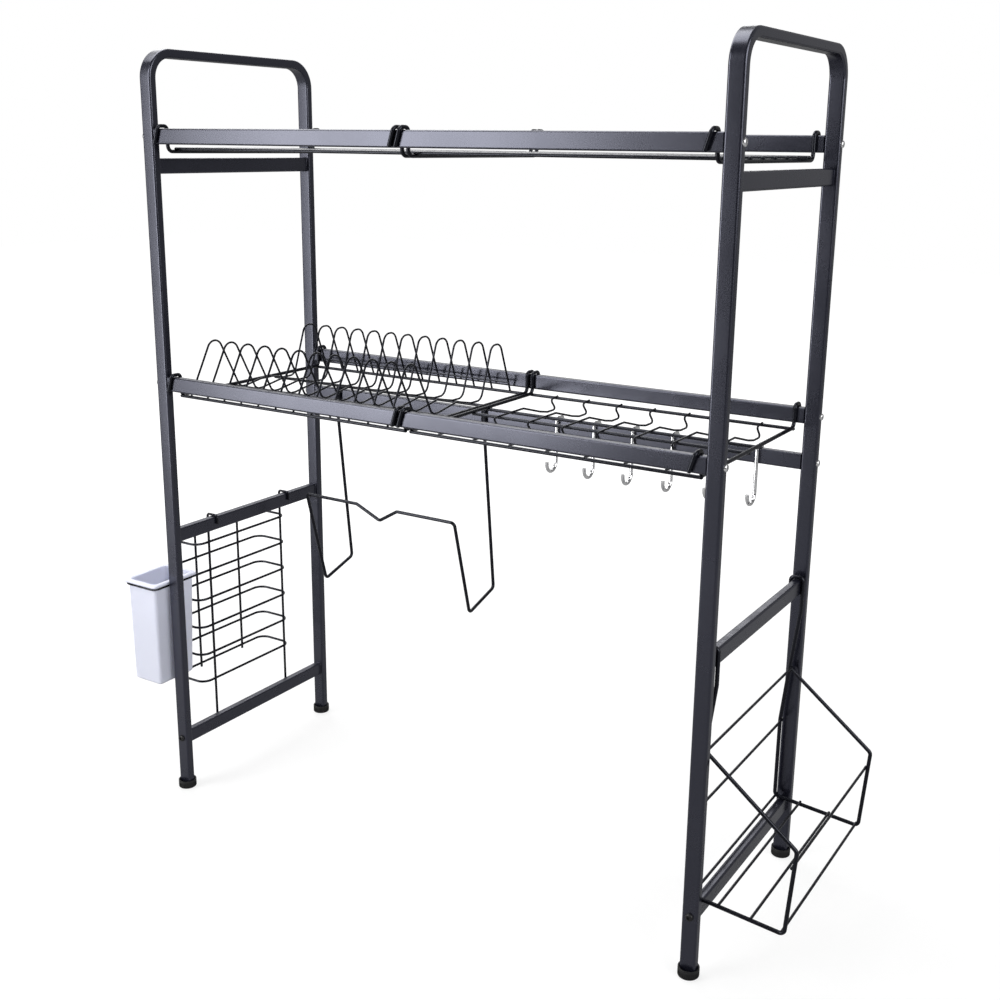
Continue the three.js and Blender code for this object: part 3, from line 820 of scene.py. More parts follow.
@dataclass(frozen=True)
class SatinWhite:
    """White moulded plastic with a cool cast, faint flow clouds and a satin skin."""

    pale: Colour = (0.71, 0.73, 0.86, 1.0)
    cool: Colour = (0.67, 0.69, 0.83, 1.0)
    roughness: float = 0.36
    see_in: float = 0.5
    see_in_way: Spot = (1.0, 1.0, 1.0)
    see_in_deep: float = 0.006
    flow: Pattern = Pattern(20.0, 3.0, (1.0, 1.0, 0.35))
    skin: Pattern = Pattern(1100.0)
    shown: float = 0.55
    felt: Span = (0.14, 0.1)
    deep_mm: float = 0.02
    strength: float = 0.3

    def material(self) -> bpy.types.Material:
        """Builds the material; shown and felt are the patterns' shares of colour and roughness."""
        recipe = Recipe("satin_white")
        flow, skin = recipe.noise(self.flow), recipe.noise(self.skin)
        base = recipe.blend(flow * self.shown, self.pale, self.cool)
        by_flow, by_skin = self.felt
        rough = flow.around(by_flow) + skin.around(by_skin) + self.roughness
        recipe.relief(skin, self.deep_mm, self.strength)
        recipe.wear({"Subsurface Weight": self.see_in, "Subsurface Radius": self.see_in_way})
        return recipe.wear({"Base Color": base, "Roughness": rough, "Subsurface Scale": self.see_in_deep})


@dataclass
class Wardrobe:
    """The finishes of the whole rack, each made once."""

    powder: bpy.types.Material
    dip: bpy.types.Material
    foot: bpy.types.Material
    bolt: bpy.types.Material
    screw: bpy.types.Material
    hook: bpy.types.Material
    cup: bpy.types.Material

    @classmethod
    def filled(cls) -> "Wardrobe":
        """Makes every finish."""
        return cls(
            powder=PowderCoat().material(),
            dip=DipCoat().material(),
            foot=MouldedBlack().material(),
            bolt=MouldedBlack("black_bolt", roughness=0.4).material(),
            screw=BrightPlate("bright_screw", roughness=0.24).material(),
            hook=BrightPlate("bright_hook", roughness=0.13).material(),
            cup=SatinWhite().material(),
        )


def dressed(thing: Piece, node: str, body: str, material: bpy.types.Material) -> Piece:
    """Finishes a piece: it stands for a CAD node, moves with its body and wears a material.

    Args:
        thing: The modelled piece.
        node: The CAD node that it replaces.
        body: The body that it moves with.
        material: Its material.

    Returns:
        The finished piece.
    """
    thing.data.materials.clear()
    thing.data.materials.append(material)
    thing.name = f"{node}_finished"
    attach(thing, body)
    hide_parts(node)
    LOG.info("%s: %d faces", thing.name, len(thing.data.polygons))
    return thing


def wired(parts: Sequence[Piece], node: str, wardrobe: Wardrobe) -> None:
    """Joins wires and welds into one dip-coated piece that is a body of its own.

    Args:
        parts: The wires and welds.
        node: The CAD node that they replace, whose name the body has too.
        wardrobe: The rack's finishes.
    """
    dressed(joined(parts, node), node, node, wardrobe.dip)


# The rack


@dataclass(frozen=True)
class RackSizes:
    """The frame's sizes, in millimetres, that several sub-assemblies share."""

    wide: float = 660.0
    deep: float = 253.0
    tube_wide: float = 15.6
    tube_thin: float = 9.4
    tube_fillet: float = 2.2
    hoop_bend: float = 26.0
    bar_tall: float = 16.0
    bar_thin: float = 8.8
    bar_fillet: float = 2.0
    bar_inset: float = 0.8
    gap: float = 0.3
    hook_play: float = 0.8
    foot_floor: float = 3.6
    low_bar: float = 63.0
    mid_bar: float = 310.0
    hook_rail: float = 438.0
    lower_rail: float = 485.0
    upper_bar: float = 715.0
    upper_rail: float = 745.0
    top: float = 833.0

    def leg_x(self, side: Side) -> float:
        """Gives the middle of a side's legs across the rack."""
        return self.tube_wide / 2 if side is Side.LEFT else self.wide - self.tube_wide / 2

    def leg_y(self, depth: Depth) -> float:
        """Gives the middle of the front or rear legs from the front."""
        return self.tube_thin / 2 if depth is Depth.FRONT else self.deep - self.tube_thin / 2

    def rail_y(self, depth: Depth) -> float:
        """Gives the middle of the front or rear rails from the front."""
        inset = self.bar_inset + self.bar_thin / 2
        return inset if depth is Depth.FRONT else self.deep - inset


SIZES = RackSizes()


@dataclass(frozen=True)
class BarHook:
    """A wire's hook over a flat bar, in the plane across the bar."""

    near: float
    far: float
    bend: float
    crown: float
    end: float

    @classmethod
    def over(cls, middle: float, z: float, toward: int, thick: float, leg: float = 13.6) -> "BarHook":
        """Works a hook out.

        Args:
            middle: The bar's middle, across it.
            z: The bar's middle height.
            toward: +1 or -1, from the hook's near side to its far side.
            thick: The wire's diameter.
            leg: How far the far leg comes down from the bar's top.

        Returns:
            The hook.
        """
        half = SIZES.bar_thin / 2 + SIZES.gap + thick / 2
        top = z + SIZES.bar_tall / 2
        return cls(
            near=middle - toward * half,
            far=middle + toward * half,
            bend=SIZES.bar_fillet + SIZES.gap + thick / 2,
            crown=top + SIZES.hook_play + thick / 2,
            end=top - leg,
        )

    def run(self, x: float, skew: float = 0.0) -> list[tuple[float, ...]]:
        """Gives a wire's corners over the bar, from its far end to where it comes down again.

        Args:
            x: The wire's place along the bar.
            skew: How far its far end slants to the left.

        Returns:
            The corners.
        """
        return [
            (x - skew, self.far, self.end),
            (x, self.far, self.crown, self.bend),
            (x, self.near, self.crown, self.bend),
        ]


@dataclass
class StandFrame:
    """The two hoops, the crossbars welded into them, the rails between them and their fasteners."""

    wardrobe: Wardrobe
    screw_wide: float = 7.0
    screw_tall: float = 2.1
    bolt_wide: float = 7.6
    bolt_tall: float = 2.5
    head_sides: int = 36
    dome_share: float = 0.7
    dome_steps: int = 6
    recess_deep: float = 1.1
    recess_rise: float = 0.2
    recess_past: float = 0.4
    cross_long: float = 0.5
    cross_thin: float = 0.13
    hexagon: float = 0.25
    seam_thick: float = 1.3
    seam_corner: float = 2.4
    seam_inset: float = 0.5
    seam_out: float = 0.1
    rail_play: float = 0.1
    bend_steps: int = 20

    def build(self) -> None:
        """Builds every piece of the frame."""
        for side in Side:
            self.hoop(side)
            for level, z in (("upper", SIZES.upper_bar), ("middle", SIZES.mid_bar), ("lower", SIZES.low_bar)):
                self.crossbar(side, level, z)
        for depth in Depth:
            for level, z in (("upper", SIZES.upper_rail), ("lower", SIZES.lower_rail)):
                self.rail(f"{depth.name.lower()}_{level}_rail", SIZES.rail_y(depth), z)
        self.rail("hook_rail", SIZES.rail_y(Depth.REAR), SIZES.hook_rail)
        for side in Side:
            word = side.name.lower()
            for depth in Depth:
                start = f"{depth.name.lower()}_{word}"
                self.screw(f"{start}_upper_screw", side, SIZES.leg_y(depth), SIZES.upper_rail)
                self.screw(f"{start}_lower_screw", side, SIZES.leg_y(depth), SIZES.lower_rail)
                self.bolt(f"{start}_bolt", depth, SIZES.leg_x(side))
            self.screw(f"{word}_hook_rail_screw", side, SIZES.leg_y(Depth.REAR), SIZES.hook_rail)

    def hoop(self, side: Side) -> None:
        """Extrudes and spins the tube's outline up one leg, over the top and down the other.

        Args:
            side: Which hoop.
        """
        x = SIZES.leg_x(side)
        front, rear = SIZES.leg_y(Depth.FRONT), SIZES.leg_y(Depth.REAR)
        start = SIZES.foot_floor + SIZES.gap
        shoulder = SIZES.top - SIZES.tube_thin / 2 - SIZES.hoop_bend
        size = (SIZES.tube_wide, SIZES.tube_thin, 1.0)
        hoop = primitive(bpy.ops.mesh.primitive_plane_add, size, size=MM, location=place(x, front, start))
        rise = (shoulder - start) * MM
        run = (rear - front - 2 * SIZES.hoop_bend) * MM
        with editing(hoop):
            bevel(SIZES.tube_fillet, CORNER_STEPS, "VERTICES")
            bpy.ops.mesh.select_all(action="SELECT")
            extrude((0, 0, rise))
            self.bend(place(x, front + SIZES.hoop_bend, shoulder))
            extrude((0, run, 0))
            self.bend(place(x, rear - SIZES.hoop_bend, shoulder))
            extrude((0, 0, -rise))
        node = f"{side.name.lower()}_hoop"
        dressed(levelled(tidied(hoop)), node, "frame", self.wardrobe.powder)

    def bend(self, centre: Vector) -> None:
        """Spins the selected outline a quarter turn backwards about a line across the rack.

        Args:
            centre: A place on that line.
        """
        bpy.ops.mesh.spin(steps=self.bend_steps, angle=math.pi / 2, center=centre, axis=(1, 0, 0))

    def crossbar(self, side: Side, level: str, z: float) -> None:
        """Builds a crossbar with its welds to the two legs.

        Args:
            side: The hoop that it is in.
            level: upper, middle or lower.
            z: Its middle height.
        """
        x = SIZES.leg_x(side)
        length = SIZES.deep - 2 * SIZES.tube_thin
        bar = Bar(length, SIZES.bar_tall, SIZES.bar_thin, SIZES.bar_fillet, Along.FORE_AND_AFT)
        parts = [bar.make(x, SIZES.deep / 2, z)]
        meet = SIZES.tube_thin + self.seam_out
        parts += [self.seam(x, y, z) for y in (meet, SIZES.deep - meet)]
        node = f"{side.name.lower()}_{level}_crossbar"
        dressed(joined(parts, node), node, "frame", self.wardrobe.powder)

    def seam(self, x: float, y: float, z: float) -> Piece:
        """Lays a weld round the end of a crossbar, where it butts against a leg.

        Args:
            x: The crossbar's middle across the rack.
            y: Where it meets the leg.
            z: Its middle height.

        Returns:
            The weld.
        """
        size = (SIZES.bar_thin - self.seam_inset, SIZES.bar_tall - self.seam_inset, 1.0)
        add, turn = bpy.ops.mesh.primitive_plane_add, (math.pi / 2, 0, 0)
        rim = primitive(add, size, size=MM, location=place(x, y, z), rotation=turn)
        with editing(rim):
            bevel(self.seam_corner, CORNER_STEPS, "VERTICES")
            bpy.ops.mesh.select_all(action="SELECT")
            bpy.ops.mesh.delete(type="ONLY_FACE")
        return round_tube(rim, self.seam_thick, rings=2, capped=False)

    def rail(self, node: str, y: float, z: float) -> None:
        """Builds a rail between the hoops.

        Args:
            node: Its CAD node.
            y: Its middle from the front.
            z: Its middle height.
        """
        length = SIZES.wide - 2 * SIZES.tube_wide - self.rail_play
        bar = Bar(length, SIZES.bar_tall, SIZES.bar_thin, SIZES.bar_fillet, Along.ACROSS)
        dressed(bar.make(SIZES.wide / 2, y, z), node, "frame", self.wardrobe.powder)

    def head(self, wide: float, tall: float, middle: Vector, out: Vector, drive: Drive) -> Piece:
        """Domes a disc into a fastener's head and sinks a drive recess in it.

        Args:
            wide: The head's diameter in millimetres.
            tall: Its height.
            middle: The middle of its seat.
            out: The way that it faces.
            drive: The recess in it.

        Returns:
            The head.
        """
        turn = out.to_track_quat("Z", "Y").to_euler()
        head = primitive(
            bpy.ops.mesh.primitive_cylinder_add,
            vertices=self.head_sides,
            radius=wide / 2 * MM,
            depth=tall * MM,
            location=middle + out * tall / 2 * MM,
            rotation=turn,
        )
        with editing(head, "FACE"):
            pick(head, "faces", lambda face: face.normal.dot(out) > SQUARE_ON)
            bevel(tall * self.dome_share, self.dome_steps)
        deep = (tall - self.recess_deep / 2 + self.recess_rise) * MM
        cutter = self.recess(wide, middle + out * deep, turn, drive)
        add_modifier(head, "BOOLEAN", operation="DIFFERENCE", solver="EXACT", object=cutter)
        bpy.data.objects.remove(cutter)
        return smoothed(head)

    def recess(self, wide: float, where: Vector, turn: Euler, drive: Drive) -> Piece:
        """Makes the block that cuts a drive recess.

        Args:
            wide: The head's diameter.
            where: The block's middle.
            turn: The head's turn.
            drive: Which recess it cuts.

        Returns:
            The cutting block.
        """
        deep = self.recess_deep + self.recess_past
        if drive is Drive.HEXAGON:
            add, radius = bpy.ops.mesh.primitive_cylinder_add, wide * self.hexagon * MM
            return primitive(
                add, vertices=drive.value, radius=radius, depth=deep * MM, location=where, rotation=turn
            )
        long, thin = wide * self.cross_long, wide * self.cross_thin
        arms = [
            primitive(bpy.ops.mesh.primitive_cube_add, (*arm, deep), size=MM, location=where, rotation=turn)
            for arm in ((long, thin), (thin, long))
        ]
        add_modifier(arms[0], "BOOLEAN", operation="UNION", solver="EXACT", object=arms[1])
        bpy.data.objects.remove(arms[1])
        return arms[0]

    def screw(self, node: str, side: Side, y: float, z: float) -> None:
        """Builds a bright screw head on a hoop's outer face.

        Args:
            node: Its CAD node.
            side: The hoop that it is on.
            y: Its middle from the front.
            z: Its height.
        """
        x = 0.0 if side is Side.LEFT else SIZES.wide
        out = Vector((side.value, 0, 0))
        head = self.head(self.screw_wide, self.screw_tall, place(x, y, z), out, Drive.CROSS)
        dressed(head, node, "frame", self.wardrobe.screw)

    def bolt(self, node: str, depth: Depth, x: float) -> None:
        """Builds a black bolt head low on a leg.

        Args:
            node: Its CAD node.
            depth: Whether it is on a front leg or a rear leg.
            x: Its middle across the rack.
        """
        y = 0.0 if depth is Depth.FRONT else SIZES.deep
        out = Vector((0, depth.value, 0))
        head = self.head(self.bolt_wide, self.bolt_tall, place(x, y, SIZES.low_bar), out, Drive.HEXAGON)
        dressed(head, node, "frame", self.wardrobe.bolt)


@dataclass
class LevellingFeet:
    """Four round grip-ribbed cups that turn on the ends of the legs."""

    wardrobe: Wardrobe
    outer: float = 10.18
    hole: float = 8.78
    tall: float = 9.0
    chamfer: float = 1.2
    band: float = 6.2
    groove: float = 0.4
    rim_ease: float = 0.3
    ribs: int = 36

    def build(self) -> None:
        """Builds the four feet."""
        for side in Side:
            for depth in Depth:
                node = f"{depth.name.lower()}_{side.name.lower()}_foot"
                foot = self.foot(SIZES.leg_x(side), SIZES.leg_y(depth))
                dressed(foot, node, node, self.wardrobe.foot)

    def foot(self, x: float, y: float) -> Piece:
        """Sinks the cup, eases its rims and presses grooves into its lower band.

        Args:
            x: The leg's middle across the rack.
            y: The leg's middle from the front.

        Returns:
            The foot.
        """
        centre = place(x, y, self.tall / 2)
        foot = primitive(
            bpy.ops.mesh.primitive_cylinder_add,
            vertices=2 * self.ribs,
            radius=self.outer * MM,
            depth=self.tall * MM,
            location=centre,
        )
        lowest, highest = self.chamfer * MM, self.band * MM

        def in_groove(face: bmesh.types.BMFace) -> bool:
            """Says whether a face is every other one round the lower band."""
            middle = face.calc_center_median()
            if abs(face.normal.z) > 0.5 or not lowest < middle.z < highest:
                return False
            angle = math.atan2(middle.y - centre.y, middle.x - centre.x)
            return int((angle / (2 * math.pi) + 1) * 2 * self.ribs) % 2 == 0

        def on_rim(face: bmesh.types.BMFace) -> bool:
            """Says whether a face looks up and lies above the band."""
            return face.normal.z > SQUARE_ON and face.calc_center_median().z > highest

        with editing(foot, "FACE"):
            pick(foot, "faces", lambda face: face.normal.z < -SQUARE_ON)
            bevel(self.chamfer, 3)
            pick(foot, "faces", on_rim)
            bpy.ops.mesh.inset(thickness=(self.outer - self.hole) * MM)
            extrude((0, 0, (SIZES.foot_floor - self.tall) * MM))
            pick(foot, "faces", on_rim)
            bevel(self.rim_ease, 2)
            bpy.ops.mesh.select_all(action="SELECT")
            bpy.ops.mesh.bisect(plane_co=(0, 0, highest), plane_no=(0, 0, 1))
            pick(foot, "faces", in_groove)
            bpy.ops.mesh.extrude_faces_move(TRANSFORM_OT_shrink_fatten={"value": -self.groove * MM})
        return levelled(tidied(foot))


@dataclass
class HookOnRack:
    """What the four racks that hook on the rails share: two side rods and the rods across them."""

    wardrobe: Wardrobe
    rod: float = 3.4
    cross_rod: float = 3.0
    thin_wire: float = 1.75
    weld: float = 0.6
    end_gap: float = 8.9
    centre_gap: float = 7.0
    corner_bend: float = 6.0
    end_inset: float = 1.4
    front_leg: float = 15.0
    front_skew: float = 5.6
    overhang: float = 0.8
    weld_share: float = 1.28

    def sides(self, side: Side) -> Span:
        """Gives the places of a rack's left and right side rods across the stand."""
        outer = SIZES.tube_wide + self.end_gap
        inner = SIZES.wide / 2 - self.centre_gap / 2
        return (outer, inner) if side is Side.LEFT else (SIZES.wide - inner, SIZES.wide - outer)

    def hooks(self, rail: float) -> tuple[BarHook, BarHook]:
        """Gives the hooks over a front and a rear rail at a height."""
        front = BarHook.over(SIZES.rail_y(Depth.FRONT), rail, -1, self.rod, self.front_leg)
        return front, BarHook.over(SIZES.rail_y(Depth.REAR), rail, 1, self.rod)

    def side_rods(self, side: Side, rail: float, z: float) -> list[Piece]:
        """Bends the two side rods of a rack, hooked over both rails; the front legs slant left.

        Args:
            side: The rack's side.
            rail: The rails' middle height.
            z: The rods' height under the rack.

        Returns:
            The rods.
        """
        front, rear = self.hooks(rail)
        left, right = self.sides(side)
        corners = [
            *front.run(left, self.front_skew),
            (left, front.near, z, self.corner_bend),
            (left, rear.near, z, self.corner_bend),
            *rear.run(left)[::-1],
        ]
        rod = BentWire(self.rod, corners, **STOUT).make()
        return [rod, *copies(rod, [(right - left, 0, 0)])]

    def across(self, side: Side, spots: Sequence[Span]) -> list[Piece]:
        """Lays straight rods between a rack's side rods, with a weld at each end.

        Args:
            side: The rack's side.
            spots: Each rod's place from the front and its height.

        Returns:
            The rods and welds.
        """
        left, right = self.sides(side)
        y, z = spots[0]
        ends = [(left - self.overhang, y, z), (right + self.overhang, y, z)]
        rod = BentWire(self.cross_rod, ends).make()
        rods = copies(rod, [(0, spot[0] - y, spot[1] - z) for spot in spots[1:]])
        welds = [(x, spot[0], spot[1]) for spot in spots for x in (left, right)]
        return [rod, *rods, *weld_beads(welds, self.rod * self.weld_share)]


@dataclass
class WireShelves(HookOnRack):
    """The two plain shelves on the upper rails."""

    drop: float = 15.0
    rods: int = 8
    margin: float = 11.5

    def build(self) -> None:
        """Builds both shelves."""
        z = SIZES.upper_rail - self.drop
        front, rear = self.hooks(SIZES.upper_rail)
        first, last = front.near + self.margin, rear.near - self.margin
        high = z + (self.rod + self.cross_rod) / 2 - self.weld
        spots = [(first + (last - first) * i / (self.rods - 1), high) for i in range(self.rods)]
        for side in Side:
            parts = self.side_rods(side, SIZES.upper_rail, z) + self.across(side, spots)
            wired(parts, f"{side.name.lower()}_shelf", self.wardrobe)


@dataclass
class LowerRack(HookOnRack):
    """What the plate rack and the bowl rack share: rods on the lower rails and a row of thin wires."""

    drop: float = 12.4
    wires: int = 12
    pitch: float = 24.2
    margin: float = 21.5
    bend: float = 10.0
    profile: tuple[Span, ...] = ()
    rod_shares: tuple[float, ...] = ()
    end_weld_drop: float = 1.0
    rod_weld_drop: float = 0.8
    weld_wide: float = 3.0

    def lines(self) -> Quad:
        """Gives the rear and front end rods' places, their height and the middle rods' height."""
        z = SIZES.lower_rail - self.drop
        front, rear = self.hooks(SIZES.lower_rail)
        offset = (self.rod + self.cross_rod) / 2 - self.weld
        reach = self.corner_bend + offset
        end_z = z + self.corner_bend - math.sqrt(reach**2 - (self.corner_bend - self.end_inset) ** 2)
        return rear.near - self.end_inset, front.near + self.end_inset, end_z, z - offset

    def lift(self) -> float:
        """Gives how far a thin wire's middle lies above the rod that it is welded to."""
        return (self.cross_rod + self.thin_wire) / 2 - self.weld

    def base(self, side: Side) -> list[Piece]:
        """Builds the side rods and the rods across them.

        Args:
            side: The rack's side.

        Returns:
            The rods and welds.
        """
        rear, front, end_z, mid_z = self.lines()
        spots = [(rear, end_z), (front, end_z)]
        spots += [(rear + (front - rear) * share, mid_z) for share in self.rod_shares]
        rods = self.side_rods(side, SIZES.lower_rail, SIZES.lower_rail - self.drop)
        return rods + self.across(side, spots)

    def row(self, x: float, pitch: float, inset: float, rise: float, steps: int) -> list[Piece]:
        """Bends one thin wire, repeats it along the rack and welds it to the rods.

        Args:
            x: The first wire's place across the rack.
            pitch: How far the next one lies to its right.
            inset: How far in front of the rear rod it starts.
            rise: How high its profile stands over the middle rods.
            steps: How round its bends are.

        Returns:
            The wires and welds.
        """
        rear, front, end_z, mid_z = self.lines()
        low_z, high_z = mid_z + self.lift(), end_z + self.lift()
        corners = [(x, rear + inset, high_z)]
        corners += [(x, rear + (front - rear) * run, low_z + share * rise) for run, share in self.profile]
        corners += [(x, front, high_z)]
        wire = BentWire(self.thin_wire, corners, self.bend, rings=SLIM_RINGS, steps=steps).make()
        add_modifier(
            wire,
            "ARRAY",
            count=self.wires,
            use_relative_offset=False,
            use_constant_offset=True,
            constant_offset_displace=(pitch * MM, 0, 0),
        )
        welds = [(rear, high_z - self.end_weld_drop), (front, high_z - self.end_weld_drop)]
        welds += [(rear + (front - rear) * share, low_z - self.rod_weld_drop) for share in self.rod_shares]
        spots = [(x + i * pitch, y, z) for i in range(self.wires) for y, z in welds]
        return [wire, *weld_beads(spots, self.weld_wide)]


@dataclass
class PlateRack(LowerRack):
    """Twelve alike wires, each with a tall arch behind and a narrower one in front."""

    rise: float = 57.0
    brace: float = 10.0
    profile: tuple[Span, ...] = (
        (0.0956, 1), (0.1736, 1), (0.264, 0), (0.348, 0), (0.471, 0.1),
        (0.625, 0), (0.67, 0), (0.803, 1), (0.863, 1),
    )
    rod_shares: tuple[float, ...] = (0.339, 0.643)

    def build(self) -> None:
        """Builds the rods, the plate wires and the brace along their tall arches."""
        rear, front, end_z, mid_z = self.lines()
        last = self.sides(Side.LEFT)[1] - self.margin
        first = last - (self.wires - 1) * self.pitch
        z = end_z + self.lift() + self.brace
        share = self.brace / (mid_z + self.rise - end_z)
        y = rear + (front - rear) * self.profile[0][0] * share - self.thin_wire + self.weld
        ends = [(first - self.thin_wire, y, z), (last + self.thin_wire, y, z)]
        parts = self.base(Side.LEFT) + self.row(last, -self.pitch, inset=0.0, rise=self.rise, steps=7)
        wired([*parts, BentWire(self.thin_wire, ends, rings=SLIM_RINGS).make()], "plate_rack", self.wardrobe)


@dataclass
class BowlRack(LowerRack):
    """Seven alike wires that dip in two troughs, each with an undercut rear edge."""

    wires: int = 7
    pitch: float = 39.5
    margin: float = 32.5
    dip: float = 12.5
    bend: float = 2.5
    profile: tuple[Span, ...] = (
        (0.062, 0), (0.01, 1), (0.09, 1), (0.16, 0.76), (0.315, 0),
        (0.576, 0), (0.524, 1), (0.61, 1), (0.68, 0.76), (0.83, 0.05),
    )
    rod_shares: tuple[float, ...] = (0.392, 0.515)

    def build(self) -> None:
        """Builds the rods and the bowl wires."""
        first = self.sides(Side.RIGHT)[0] + self.margin
        parts = self.base(Side.RIGHT)
        parts += self.row(first, self.pitch, inset=self.end_inset, rise=-self.dip, steps=5)
        wired(parts, "bowl_rack", self.wardrobe)


@dataclass
class BoardHolder:
    """One wire bent into a cradle for cutting boards, hung on the rear hook rail."""

    wardrobe: Wardrobe
    thick: float = 3.4
    margin: float = 38.0
    wide: float = 217.0
    back_lean: float = 22.0
    back_drop: float = 214.0
    floor_deep: float = 52.0
    floor_drop: float = 16.0
    front_lean: float = 32.0
    front_rise: float = 118.0
    notch: float = 15.0
    bend: float = 5.0
    straight: float = 15.0
    weld: float = 0.6
    notch_shares: Spot = (0.355, 0.511, 0.627)

    def build(self) -> None:
        """Bends the cradle's one wire and lays a second wire beside each hook."""
        hook = BarHook.over(SIZES.rail_y(Depth.REAR), SIZES.hook_rail, 1, self.thick)
        x0 = SIZES.tube_wide + self.margin
        x1 = x0 + self.wide
        straight = SIZES.hook_rail - SIZES.bar_tall / 2 - self.straight
        back = (hook.near + self.back_lean, SIZES.hook_rail - self.back_drop)
        floor = (back[0] - self.floor_deep, back[1] - self.floor_drop)
        front = (floor[0] - self.front_lean, floor[1] + self.front_rise)

        def hung(x: float) -> list[tuple[float, ...]]:
            """Gives a wire's corners over the rail and a little way down."""
            return [*hook.run(x), (x, hook.near, straight)]

        def side(x: float) -> list[tuple[float, ...]]:
            """Gives the corners of one side of the cradle, from its hook to its front."""
            return [*hung(x), (x, *back), (x, *floor), (x, *front)]

        start, low, end = (x0 + share * self.wide for share in self.notch_shares)
        bar = [(start, *front), (low, front[0], front[1] - self.notch), (end, *front)]
        cradle = BentWire(self.thick, [*side(x0), *bar, *side(x1)[::-1]], self.bend, **STOUT)
        beside = self.thick - self.weld
        second = BentWire(self.thick, hung(x0 + beside), **STOUT).make()
        parts = [cradle.make(), second, *copies(second, [(self.wide - 2 * beside, 0, 0)])]
        wired(parts, "board_holder", self.wardrobe)


@dataclass
class RailHooks:
    """Six loose bright hooks on the rear hook rail."""

    wardrobe: Wardrobe
    count: int = 6
    thick: float = 4.0
    margin: float = 45.0
    pitch: float = 46.7
    drop: float = 48.0
    jaw: float = 20.0
    tip: float = 12.0
    rings: int = 6
    steps: int = 10

    def build(self) -> None:
        """Bends each hook."""
        hook = BarHook.over(SIZES.rail_y(Depth.REAR), SIZES.hook_rail, 1, self.thick)
        low = SIZES.hook_rail - self.drop
        for number in range(1, self.count + 1):
            x = SIZES.wide - SIZES.tube_wide - self.margin - (self.count - number) * self.pitch
            corners = [
                *hook.run(x),
                (x, hook.near, low, self.jaw / 2),
                (x, hook.near - self.jaw, low, self.jaw / 2),
                (x, hook.near - self.jaw, low + self.tip),
            ]
            node = f"hook_{number}"
            wire = BentWire(self.thick, corners, rings=self.rings, steps=self.steps, coat=0.0).make()
            dressed(wire, node, node, self.wardrobe.hook)


